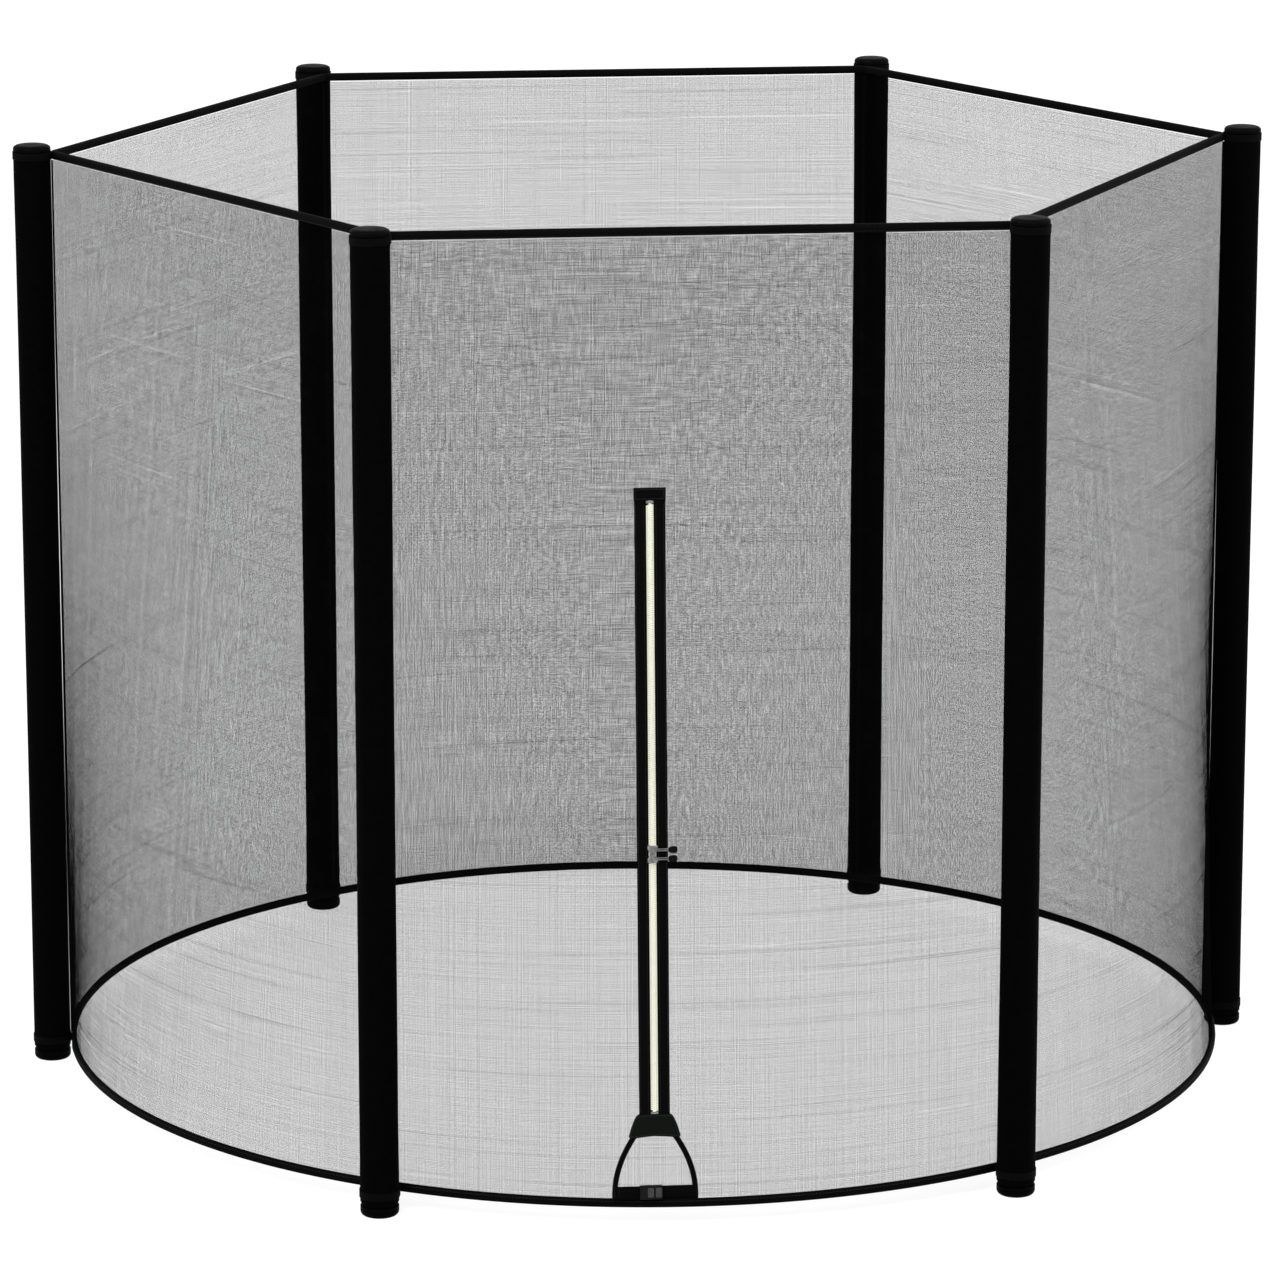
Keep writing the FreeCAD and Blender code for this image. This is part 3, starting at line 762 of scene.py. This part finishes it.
hem = {
    "steps": 64,
    "section": 20,
    "squareness": 0.85,
    "ropeHalf": (0.0087, 0.0087),  # half height and half width
    "hoopHalf": (0.0088, 0.0068),
    "hoopInset": 0.0006,  # angle that the hoop stops short of each pole
    "mitreGap": 0.00015,
    "stitchPlace": 0.86,  # share of the half width
    "ropeStitches": -0.0048,  # height from the middle
    "hoopStitches": 0.0046,
    "stitchEnd": 0.03,
    "stitch": 0.0045,
    "stitchGap": 0.0025,
    "stitchWidth": 0.0008,
}


def onWall(points, number):
    # points of the front wall, drawn in to the mitre planes through its two poles, and back to the flat
    # inner faces of the loops where they would pass through them, and then turned to a wall's place
    for side in (-1, 1):
        pole = np.array([side * math.sin(endAngle), -math.cos(endAngle), 0.0])
        square = np.array([side * math.cos(endAngle), math.sin(endAngle), 0.0])
        over = np.maximum(points @ square + hem["mitreGap"], 0)[..., None]
        points = points - [side, 0, 0] * over / (side * square[0])
        points = points - pole * np.maximum(points @ pole - loopFace, 0)[..., None]
    return turned(points, wallAngle(number))


along = np.linspace(-1, 1, hem["steps"])
turn = along * (endAngle - hem["hoopInset"]) - math.pi / 2
arcOut = together(np.cos(turn), np.sin(turn), 0)
ropeLine = together(along * (ropeHalfSpan + hem["ropeHalf"][1]), -ropeApothem, ropeHeight)
hemSolids = []
for name, node, line, out, (halfHeight, halfWidth), height in (
        ("topRope", "top_rope_", ropeLine, np.array([[0.0, -1.0, 0.0]]), hem["ropeHalf"], hem["ropeStitches"]),
        ("hoop", "hoop_", arcOut * hoopRadius + [0, 0, hoopHeight], arcOut, hem["hoopHalf"], hem["hoopStitches"])):
    bar = sweep(line, [0, 0, 1], out, oval(hem["section"], halfHeight, halfWidth, hem["squareness"]))
    lift = out * halfWidth * hem["stitchPlace"] + [0, 0, height]
    hemSolids.append((name, node, bar, stitchLine(line, out, hem, hem["stitchEnd"], hem["stitchEnd"], lift, 1.0)))
for number, wall in enumerate(wallNames):
    for name, node, bar, stitches in hemSolids:
        makePiece(name + "_" + wall, placed([bar], onWall, number), "webbing", replaced=[node + wall],
                  sharp=60)
        makePiece(name + "Stitches_" + wall, placed([stitches], onWall, number), "stitchThread")
print("rope and hoop made")


# Bound seams where two net walls meet, one beside each pole

seam = {
    "halfWidth": 0.0045,
    "gap": 0.0004,
    "overlap": 0.0006,
    "rows": 120,
    "sides": 12,
    "sidePitch": 0.0015,
    "wave": 0.0002,
    "waveLength": 0.004,
}


def seamShape(look):
    # an oval cord from the hoop up to the rope: across the radius it fills the space between the net's
    # corner and the sleeve, and it swells and narrows a little, as a sewn binding does
    height = np.linspace(netBottom, netTop, look["rows"])[:, None]
    share = (height - netBottom) / (netTop - netBottom)
    inner = hoopRadius + (ropeCorner - hoopRadius) * share - look["overlap"]
    half = (poleCircle - sleeveRadius - look["gap"] - inner) / 2
    turn = circle(look["sides"])
    swell = look["halfWidth"] + look["wave"] * np.sin(height / look["waveLength"])
    return loft(together(inner + half * (1 - np.cos(turn)) - poleCircle, swell * np.sin(turn), height),
                together(height, np.arange(look["sides"]) * look["sidePitch"]))


for name, solid in zip(poleNames, atEveryPole(seamShape(seam))):
    makePiece("netSeam_" + name, [solid], "webbing")
print("net seams made")


# Webbing loops round the poles

loop = {
    "halfWidth": 0.0078,
    "halfThickness": 0.00065,
    "rounding": 0.0005,
    "sides": 96,
    "gap": 0.0003,
    "start": 2.2,  # angle round the pole
    "tabAngle": 0.9,
    "lapAngle": 0.25,
    "lapRise": 2.05,  # half thicknesses
}


def loopShape(look, height):
    # a flat ribbon wound once round the sleeve; its end laps over its start, so the radius steps out there
    turn = np.linspace(0, 2 * math.pi + look["tabAngle"], look["sides"])
    lap = np.clip((turn - 2 * math.pi) / look["lapAngle"] + 1, 0, 1)
    radius = sleeveRadius + look["gap"] + look["halfThickness"] * (1 + lap * look["lapRise"])
    out = together(np.cos(turn + look["start"]), np.sin(turn + look["start"]), 0)
    profile = roundedBar(look["halfWidth"], look["halfThickness"], look["rounding"])
    return sweep(out * radius[:, None] + [0, 0, height], [0, 0, 1], out, profile)


for name, node, low, high in (("topLoops", "top_loops", topLoopLow, topLoopHigh),
                              ("bottomLoops", "bottom_loops", lowLoopLow, lowLoopHigh)):
    makePiece(name, atEveryPole(loopShape(loop, (low.z + high.z) / 2)), "webbing", replaced=[node], sharp=40)
print("pole loops made")


# Zip: two woven tapes, each with its row of moulded teeth, and a stop at both ends

zipLook = {
    "tapeInner": 0.0034,
    "tapeOuter": 0.0300,
    "tapeBack": 0.0003,
    "tapeThickness": 0.001,
    "tapeRows": 600,
    "tuck": 0.0015,  # how far the tapes run on under the patches
    "pucker": 0.00018,
    "puckerPitch": 0.011,
    "puckerSpread": 0.004,
    "seams": (0.0118, 0.0268),
    "seamEnd": 0.004,
    "stitch": 0.0032,
    "stitchGap": 0.0014,
    "stitchWidth": 0.0006,
    "toothPitch": 0.0036,
    "toothReach": 0.0010,  # how far a tooth passes the middle of the chain
    "toothBevel": (0.0003, 0.0004),
    "chainHalfWidth": 0.0072,
    "chainBack": -0.0007,
    "chainFront": 0.0023,
    "stopLength": 0.005,
    "stopFront": 0.0002,  # how far a stop stands out before the teeth
    "stopBevel": 0.0007,
    "stopWaist": (0.001, 0.0007),
    "stopCorner": 0.0008,
}


def slab(across, up, front, back):
    # a solid on the door between a front and a back surface over a grid of (across, up)
    ring = np.concatenate([together(across, front, up), together(across, back, up)[:, ::-1]], 1)
    return loft(onDoor(ring), ring[..., [0, 2]])


def tapeShape(look, side):
    # a flat strip whose thickness is rounded off at both edges; shallow waves of a sine run across it near
    # its seams, as the sewing puckers it
    height = np.linspace(chainBottom - look["tuck"], chainTop + look["tuck"], look["tapeRows"])[:, None]
    share = np.array([0, 0.02, 0.08, 0.2, 0.3, 0.4, 0.6, 0.8, 0.88, 0.95, 1.0])
    across = look["tapeInner"] + (look["tapeOuter"] - look["tapeInner"]) * share
    full = look["tapeThickness"] / 2
    half = full * np.minimum(1, 0.35 + 12 * np.minimum(share, 1 - share))
    near = sum(np.exp(-((across - place) / look["puckerSpread"]) ** 2) for place in look["seams"])
    wave = look["pucker"] * near * (np.sin(2 * math.pi * height / look["puckerPitch"]) - 1)
    middle = look["tapeBack"] + full
    return slab(side * across, height, middle + half + wave * (half == full), middle - half)


def teethShape(look, side):
    # one tooth is an outline with a broad root and a narrow head, with its front edges rounded off; it is
    # repeated up the chain, and the other side's teeth stand half a pitch higher
    pitch, reach, edge = look["toothPitch"], look["toothReach"], look["chainHalfWidth"]
    root, neck = pitch * 0.39, pitch * 0.215
    half = [(edge, root * 0.75), (edge - 0.0006, root), (0.0023, root), (0.0014, neck), (-reach * 0.5, neck * 1.08),
            (-reach, neck * 0.6)]
    inset, bevel = look["toothBevel"]
    points, faces, _ = layers(mirrored(half, [1, -1]), [(0, look["chainBack"]), (0, look["chainFront"] - bevel),
                                                        (inset, look["chainFront"])])
    points = points.reshape(-1, 3)
    low = chainBottom + look["stopLength"] + pitch * (0.75 if side > 0 else 1.25)
    heights = np.arange(low, chainTop - look["stopLength"] - pitch * 0.5, pitch)[:, None, None]
    return onDoor(points * [side, 1, 1] + heights * [0, 0, 1]), repeatFaces(faces, len(points), len(heights)), None


for side, name in ((-1, "left"), (1, "right")):
    front = zipLook["tapeBack"] + zipLook["tapeThickness"]
    ends = (chainBottom + zipLook["seamEnd"], chainTop - zipLook["seamEnd"])
    stitches = [stitchLine(onDoor([(side * place, front, end) for end in ends]), doorOut, zipLook, 0.0,
                           zipLook["stitch"]) for place in zipLook["seams"]]
    makePiece("zipTape_" + name, [tapeShape(zipLook, side)], "tapeCloth", replaced=["zip_tape_" + name])
    makePiece("zipStitches_" + name, stitches, "stitchThread")
    makePiece("zipTeeth_" + name, [teethShape(zipLook, side)], "teethPlastic",
              replaced=["zip_teeth_" + name], sharp=40)


def stopShape(look, low):
    # a pinched metal clip: a bar with rounded edges and a waist in the middle
    half, length, (waist, pinch) = look["chainHalfWidth"], look["stopLength"], look["stopWaist"]
    corners = mirrored([(waist, pinch), (half, 0), (half, length), (waist, length - pinch)], [-1, 1]) + [0, low]
    return bevelledPlate(roundedOutline(corners, look["stopCorner"], 3), look["chainBack"],
                         look["chainFront"] + look["stopFront"], look["stopBevel"])


stops = [stopShape(zipLook, low) for low in (chainBottom, chainTop - zipLook["stopLength"])]
makePiece("zipStops", placed(stops, onDoor), "sliderMetal", replaced=["zip_stops"], sharp=40)
print("zip made")


# Patches over the ends of the zip

patchLook = {
    "top": {"halfTop": 0.0310, "halfLow": 0.0310, "low": 1.3752, "high": 1.4001, "flare": 1.0, "folds": 0.00015,
            "corner": 0.003, "arch": 0.0},
    "bottom": {"halfTop": 0.0314, "halfLow": 0.0520, "low": 0.1300, "high": 0.1778, "flare": 0.62, "folds": 0.0005,
               "corner": 0.007, "arch": 0.004},
    "rows": 31,
    "columns": 41,
    "back": 0.0003,
    "thickness": 0.0019,
    "rimShare": 0.3,  # of the thickness
    "rimWidth": 0.0014,
    "seamInset": 0.0035,
    "seamDepth": 0.00035,
    "seamWidth": 0.0009,
    "foldTurn": 11.0,  # the cosine's angle at the side edges
    "foldTop": 0.2,  # share of the folds at the top
    "stitchSunk": 0.0002,
    "stitchShare": 1.3,  # of the zip's stitch width
}


def patchHalf(look, down):
    # half width at a share of the way down: it changes by a power of that share
    return look["halfTop"] + (look["halfLow"] - look["halfTop"]) * down ** look["flare"]


def patchFold(look, shared, share, down):
    # soft folds fan out across the patch as a cosine of the share of its half width, and grow down it
    grown = shared["foldTop"] + (1 - shared["foldTop"]) * down
    return look["folds"] * (1 + np.cos(share * shared["foldTurn"])) * grown


def patchShape(look, shared):
    # a cloth pad between two heights that draws in by a quarter round at its lower corners, and whose lower
    # edge is a shallow arch; its thickness falls off in a quarter round at its rim, and folds lift it
    down = np.sin(np.linspace(0, math.pi / 2, shared["rows"]))[:, None]
    share = np.sin(np.linspace(-math.pi / 2, math.pi / 2, shared["columns"]))
    length = look["high"] - look["low"]
    last = np.clip((down - 1) * length / look["corner"] + 1, 0, 1)
    half = patchHalf(look, down) - look["corner"] * (1 - np.sqrt(1 - last ** 2))
    rim = np.minimum((1 - np.abs(share)) * half, np.minimum(down, 1 - down) * length)
    full = np.sqrt(1 - (1 - np.clip(rim / shared["rimWidth"], 0, 1)) ** 2)
    thickness = shared["thickness"] * (shared["rimShare"] + (1 - shared["rimShare"]) * full)
    sewn = shared["seamDepth"] * np.exp(-((rim - shared["seamInset"]) / shared["seamWidth"]) ** 2) * (full > 0.9)
    front = shared["back"] + thickness + patchFold(look, shared, share, down) * full - sewn
    up = look["high"] - length * down + look["arch"] * np.cos(share * math.pi / 2) * down
    return slab(half * share, up, front, shared["back"])


def patchStitches(look, shared, thread):
    # four lines of dashes, inset from the rim; those at the sides follow the patch's changing width, and the
    # lowest follows its arched edge
    inset, length, stitch = shared["seamInset"], look["high"] - look["low"], thread["stitch"]
    step = stitch + thread["stitchGap"]

    def onPatch(places):
        # the points of the patch's front over places (across, up)
        down = ((look["high"] - places[:, 1]) / length).clip(0, 1)
        lift = patchFold(look, shared, places[:, 0] / patchHalf(look, down), down)
        return onDoor(raised(places, shared["back"] + shared["thickness"] - shared["stitchSunk"] + lift))

    starts, runs = [], []
    for down in (inset, length - inset):
        half = patchHalf(look, down / length) - inset
        across = np.arange(-half, half - stitch, step)
        rise = look["arch"] * np.cos(across / half * math.pi / 2) * down / length
        starts.append(together(across, look["high"] - down + rise))
        runs.append(together(np.full(len(across), stitch), 0.0))
    downs = np.arange(inset, length - inset - look["corner"] / 2, step)
    half = patchHalf(look, downs / length) - inset
    for side in (-1, 1):
        starts.append(together(side * half, look["high"] - downs))
        runs.append(unit(together(side * np.gradient(half, downs), -1.0)) * stitch)
    starts, runs = np.concatenate(starts), np.concatenate(runs)
    width = thread["stitchWidth"]
    return bars(onPatch(starts), onPatch(starts + runs), doorOut, width * shared["stitchShare"], width)


for name, material in (("top", "tapeCloth"), ("bottom", "patchCloth")):
    look = patchLook[name]
    makePiece(name + "Patch", [patchShape(look, patchLook)], material, replaced=[name + "_patch"])
    makePiece(name + "PatchStitches", [patchStitches(look, patchLook, zipLook)], "stitchThread")
print("patches made")


# Strap loop under the zip, and the strap with its buckle

strapLook = {
    "top": 0.1395,  # middle line of the band, up the door; it is sewn under the lower patch
    "foot": 0.0088,  # the feet and the bar between them end on the hoop's hem
    "halfTop": 0.0362,
    "halfMiddle": 0.0698,
    "halfFoot": 0.0783,
    "corner": 0.006,
    "archSteps": (24, 8, 12),  # arm, turn and top
    "band": 0.011,
    "bandStitches": 0.0042,  # from its middle line
    "back": 0.0003,
    "thickness": 0.0016,
    "rounding": 0.35,  # share of the thickness
    "footBar": 0.009,  # width of the band that joins the feet
    "footBarInset": 0.0001,
    "footBarSteps": 30,
    "strapBack": 0.0022,
    "strapMiddle": 0.024,
    "strapWidth": 0.0238,
    "strapEnds": {"left": (-0.0834, -0.0243), "right": (0.0834, 0.0077)},  # outer, inner
    "strapSteps": 40,
    "strapSeams": (0.004, 0.0125),  # from the strap's outer end
    "strapSeamHalf": 0.0115,
    "stitchEnds": (0.003, 0.006),
    "ripple": 0.0004,
    "rippleStart": 0.029,  # the buckle's plug slides over the flat part before it
    "rippleLength": 0.0235,
}


def archLine(look):
    # the loop's middle line: each arm is the parabola through its foot, middle and top, and a quarter turn
    # joins it to the straight top
    low, top, (armSteps, turnSteps, topSteps) = look["foot"], look["top"], look["archSteps"]
    bow = np.polyfit([low, (low + top) / 2, top], [look["halfFoot"], look["halfMiddle"], look["halfTop"]], 2)
    up = np.linspace(low, top - look["corner"], armSteps)
    arm = together(np.polyval(bow, up), up)
    corner = np.array([np.polyval(bow, top), top])
    end = corner - [look["corner"], 0]
    turn = tangentCurve(arm[-1], corner, end, np.linspace(0, 1, turnSteps + 1)[1:, None])
    straight = together(np.linspace(end[0], -end[0], topSteps + 2)[1:-1], top)
    half = np.concatenate([arm, turn])
    return np.concatenate([half, straight, half[::-1] * [-1, 1]])


def flatBand(line, width, thickness, back, rounding, lift=0.0):
    # a flat webbing band along a line of (across, up), standing off the door plane
    side = raised(leftOf(unit(np.gradient(line, axis=0))), 0.0)
    profile = roundedBar(width / 2, thickness / 2, thickness * rounding)
    return sweep(raised(line, back + thickness / 2 + lift), side, [0, 1, 0], profile)


def ripple(line, look):
    # a slow cosine lifts and lowers a band a little after its start
    run = (lengths(line) - look["rippleStart"]).clip(0)
    return look["ripple"] * (1 - np.cos(2 * math.pi * run / look["rippleLength"])) / 2


def doorStitches(line, depth, look):
    # dashes along a line of (across, up) on the door, at a depth
    return stitchLine(onDoor(raised(line, depth)), doorOut, zipLook, *look["stitchEnds"])


thickness, rounding, inset = strapLook["thickness"], strapLook["rounding"], strapLook["footBarInset"]
arch = archLine(strapLook)
barEnds = np.linspace(-strapLook["halfFoot"], strapLook["halfFoot"], strapLook["footBarSteps"])
barLine = together(barEnds, strapLook["foot"] + strapLook["footBar"] / 2)
bands = [flatBand(arch, strapLook["band"], thickness, strapLook["back"], rounding),
         flatBand(barLine, strapLook["footBar"], thickness - 2 * inset, strapLook["back"] + inset, rounding)]
makePiece("strapLoop", placed(bands, onDoor), "webbing", replaced=["strap_loop"], sharp=50)
run = leftOf(unit(np.gradient(arch, axis=0)))
stitches = [doorStitches(arch + run * offset, strapLook["back"] + thickness, strapLook)
            for offset in (-strapLook["bandStitches"], strapLook["bandStitches"])]
for name, (outer, inner) in strapLook["strapEnds"].items():
    line = together(np.linspace(*sorted((outer, inner)), strapLook["strapSteps"]), strapLook["strapMiddle"])
    lift = ripple(line, strapLook) if name == "right" else 0.0
    band = flatBand(line, strapLook["strapWidth"], thickness, strapLook["strapBack"], rounding, lift)
    makePiece("strap" + name.capitalize(), placed([band], onDoor), "webbing", replaced=["strap_" + name],
              sharp=50)
    for seamInset in strapLook["strapSeams"]:
        # rows of stitches across the strap where it is sewn to the loop
        seamEnds = strapLook["strapMiddle"] + np.array([-1, 1]) * strapLook["strapSeamHalf"]
        row = together(outer - math.copysign(seamInset, outer), seamEnds)
        stitches.append(doorStitches(row, strapLook["strapBack"] + thickness, strapLook))
makePiece("strapStitches", stitches, "stitchThread")
print("strap and its loop made")


# Ribbed pads on the front of the buckle, one on each half; their light grey is a painted highlight on the black buckle

padLook = {
    "front": 0.0112,  # the buckle's front face
    "height": 0.0006,
    "sunk": 0.0004,
    "half": 0.0094,
    "corner": 0.0022,
    "bevel": 0.0005,
    "socket": (-0.0152, -0.0036),
    "plug": (0.0003, 0.0119),
    "ribs": 4,
    "ribWidth": 0.0008,
    "ribHeight": 0.0005,
    "ribBevel": 0.0003,
}


def padShape(look, left, right):
    # a thin plate with round corners and softened edges, and upright ribs spread evenly across it
    middle, half = strapLook["strapMiddle"], look["half"]
    low, top = look["front"] - look["sunk"], look["front"] + look["height"]
    outline = roundedOutline(rectangle(left, right, middle - half, middle + half), look["corner"], 6)
    solids = [bevelledPlate(outline, low, top, look["bevel"], 4)]
    reach, ribHalf = half - look["corner"], look["ribWidth"] / 2
    for place in np.linspace(left, right, look["ribs"] + 2)[1:-1]:
        rib = rectangle(place - ribHalf, place + ribHalf, middle - reach, middle + reach)
        solids.append(bevelledPlate(rib, low, top + look["ribHeight"], look["ribBevel"]))
    return placed(solids, onDoor)


# the pads carry the lighter grey of a painted highlight
for name, body in (("socket", "enclosure"), ("plug", "buckle_plug")):
    makePiece(name + "Pad", padShape(padLook, *padLook[name]), "gripPlastic", body=body, sharp=40)
print("buckle pads made")


# Sliders, each with its pull tab

sliderLook = {
    "length": 0.017,
    "spacing": 0.0004,
    "meeting": 0.690,
    "frontPlate": (0.0025, 0.0039),
    "backPlate": (-0.0023, -0.0009),
    "bevel": 0.0005,
    "corner": 0.0006,
    "half": [(0.0060, 0.0), (0.0064, 0.003), (0.0096, 0.0095), (0.0096, 0.0165), (0.0064, 0.017), (0.0012, 0.0158)],
    "rim": [(0.0082, 0.0098), (0.0094, 0.0100), (0.0094, 0.0160), (0.0082, 0.0162)],
    "rimDepths": ((0.0015, 0.0027), (-0.0011, 0.0001)),
    "post": (-0.0005, 0.0005, 0.009, 0.0155),
    "postBevel": 0.0001,
    "lap": 0.0003,  # how far post and plates run into each other, and the bevel of the rims
    "crown": 0.0073,
    "crownRadius": 0.0011,
    "crownFoot": 0.0006,  # how deep its ends stand in the plate
    "crownInset": 0.0013,
    "crownSwell": 1.9,
}
pullLook = {
    "eyeBore": 0.00125,
    "eyeWall": 0.0013,
    "eyeWidth": 0.0052,
    "linkHalf": 0.0026,
    "linkBar": 0.0009,
    "linkFlat": 0.85,
    "linkEnd": 0.0320,
    "linkCorner": 0.0014,
    "length": 0.0478,
    "gripStart": 0.0300,
    "gripHalf": 0.0069,
    "gripThickness": 0.0034,
    "gripCorner": 0.0016,
    "gripBevel": 0.0009,
    "ribs": 4,
    "ribStart": 0.0048,
    "ribPitch": 0.0030,
    "ribWidth": 0.0013,
    "ribHalf": 0.0047,
    "ribHeight": 0.0003,
}


def sliderShape(look):
    # two bevelled plates joined by a post, rims that close over the tapes' edges, and a round bar bent over
    # the front as the crown; drawn with its nose down from height 0
    lap, middle, (back, front) = look["lap"], look["length"] / 2, (look["backPlate"], look["frontPlate"])
    outline = roundedOutline(mirrored(look["half"], [-1, 1]), look["corner"], 3)
    solids = [bevelledPlate(outline, *plate, look["bevel"]) for plate in (front, back)]
    solids += [bevelledPlate(np.array(look["rim"]) * [side, 1], *depths, lap)
               for side in (-1, 1) for depths in look["rimDepths"]]
    solids.append(bevelledPlate(rectangle(*look["post"]), back[1] - lap, front[0] + lap, look["postBevel"]))
    turn = np.linspace(0, math.pi, 25)
    low = front[1] - look["crownFoot"]
    lift = np.clip(np.sin(turn) * look["crownSwell"], 0, 1)
    path = together(0.0, low + (look["crown"] - low) * lift, middle - (middle - look["crownInset"]) * np.cos(turn))
    out = np.cross([1, 0, 0], unit(np.gradient(path, axis=0)))
    return solids + [sweep(path, [1, 0, 0], out, oval(12, look["crownRadius"], look["crownRadius"]))]


def pullLinkShape(look):
    # an eye round the crown's axis, and a narrow bent wire loop from the eye into the grip
    turn, wall = circle(28), look["eyeWall"]
    out = together(np.cos(turn), np.sin(turn), 0.0)
    section = roundedBar(look["eyeWidth"] / 2, wall / 2, wall * 0.45, 3)
    eye = sweep(out * (look["eyeBore"] + wall / 2), [0, 0, 1], out, section, closed=True)
    start, reach = look["eyeBore"] + wall * 0.6, look["linkHalf"] - look["linkBar"]
    line = roundedOutline(rectangle(start, look["linkEnd"], -reach, reach), look["linkCorner"], 5)
    side = raised(leftOf(unit(np.roll(line, -1, 0) - np.roll(line, 1, 0))), 0.0)
    wire = oval(8, look["linkBar"], look["linkBar"] * look["linkFlat"])
    return [eye, sweep(raised(line, 0.0), side, [0, 1, 0], wire, closed=True)]


def gripShape(look):
    # a moulded grip, broad at its outer end, with ribs across both faces
    start, end, wide, high = look["gripStart"], look["length"], look["gripHalf"], look["ribHeight"]
    half = look["gripThickness"] / 2 - high
    side = [(start, -wide * 0.55), (start + 0.005, -wide * 0.93), (end - 0.004, -wide), (end, -wide * 0.62)]
    outline = roundedOutline(mirrored(side, [1, -1]), look["gripCorner"], 5)
    lefts = start + look["ribStart"] + np.arange(look["ribs"]) * look["ribPitch"]
    ribs = [rectangle(left, left + look["ribWidth"], -look["ribHalf"], look["ribHalf"]) for left in lefts]
    return [bevelledPlate(outline, -half, half, look["gripBevel"], 5),
            *(bevelledPlate(rib, -half - high, half + high, high) for rib in ribs)]


def onSlider(points, low, turnedOver):
    # drawn points set at a slider's height, nose up where it is turned over, and leaned onto the door
    if turnedOver:
        points = points * [1, 1, -1] + [0, 0, sliderLook["length"]]
    return onDoor(points + [0, 0, low])


crownPlace = [0, sliderLook["crown"], sliderLook["length"] / 2]
link, grip = (placed(shape(pullLook), np.add, crownPlace) for shape in (pullLinkShape, gripShape))
for name, turnedOver in (("upper", False), ("lower", True)):
    low = sliderLook["meeting"] + sliderLook["spacing"] / 2
    if turnedOver:
        low = sliderLook["meeting"] - sliderLook["spacing"] / 2 - sliderLook["length"]
    for part, solids, material, slot, body in (
            ("Slider", sliderShape(sliderLook), "sliderMetal", "slider_metal", name + "_slider"),
            ("PullLink", link, "sliderMetal", "slider_metal", name + "_pull"),
            ("PullGrip", grip, "pullPlastic", "pull_plastic", name + "_pull")):
        solids = [(onSlider(points, low, turnedOver), faces, None) for points, faces, _ in solids]
        makePiece(name + part, solids, material, body=body, replaced=[body], sharp=40)
print("sliders and pull tabs made")


# Materials of the pieces that keep their own solids

nodeMaterials = {"lower_tube": "tubeSteel", "upper_tube": "tubeSteel", "buckle": "bucklePlastic"}
for node, part in frame["nodes"].items():
    for start, material in nodeMaterials.items():
        if node.startswith(start):
            part.data.materials.clear()
            part.data.materials.append(materials[material])
print("solids given their materials")


# Floor and light

studio = {
    "floorSize": 60.0,
    "floorGlow": 0.84,
    "floorColour": 0.30,
    "floorRoughness": 0.9,
    "skyLevel": 0.66,
    "lampSize": 5.0,
    "lampTarget": 1.0,  # height that the lamps point at
    "lamps": {"keyLamp": ((-3.5, -5.0, 6.5), 430.0), "fillLamp": ((5.0, -2.0, 4.5), 170.0)},  # place and power
}


def seenDirectly(tree):
    # 1 for what the camera or a gloss sees, and 0 for other light
    rays = tree.nodes.new("ShaderNodeLightPath").outputs
    return mathNode(tree, "MAXIMUM", rays["Is Camera Ray"], rays["Is Glossy Ray"])


def addFloor(look):
    # a pale floor that glows a little for the camera, so that it shows white and keeps its shadows
    half = look["floorSize"] / 2
    mesh = bpy.data.meshes.new("floor")
    corners = np.insert(rectangle(-half, half, -half, half), 2, 0, axis=1)
    mesh.from_pydata(corners.tolist(), [], [(0, 1, 2, 3)])
    material = bpy.data.materials.new("paleFloor")
    material.use_nodes = True
    tree = material.node_tree
    shader = tree.nodes["Principled BSDF"].inputs
    glow = mathNode(tree, "MULTIPLY", seenDirectly(tree), look["floorGlow"])
    for slot, value in (("Base Color", grey(look["floorColour"])), ("Roughness", look["floorRoughness"]),
                        ("Emission Color", grey(1)), ("Emission Strength", glow)):
        feed(tree, shader[slot], value)
    mesh.materials.append(material)
    addObject("floor", mesh)


def addSky(look):
    # an even white sky that is full white only where it is seen
    world = bpy.data.worlds.new("sky")
    bpy.context.scene.world = world
    world.use_nodes = True
    tree = world.node_tree
    sky = tree.nodes["Background"].inputs
    sky["Color"].default_value = grey(1)
    feed(tree, sky["Strength"], mathNode(tree, "MAXIMUM", seenDirectly(tree), look["skyLevel"]))


def addLamp(name, place, power, look):
    # a round lamp turned to face the middle axis
    lamp = addObject(name, bpy.data.lights.new(name, "AREA"))
    lamp.data.energy = power
    lamp.data.shape = "DISK"
    lamp.data.size = look["lampSize"]
    lamp.location = place
    x, y, z = place
    lamp.rotation_euler = (math.atan2(math.hypot(x, y), z - look["lampTarget"]), 0, math.atan2(y, x) + math.pi / 2)


addFloor(studio)
addSky(studio)
for name, (place, power) in studio["lamps"].items():
    addLamp(name, place, power, studio)
bpy.context.scene.view_settings.view_transform = "Standard"
print("studio set")
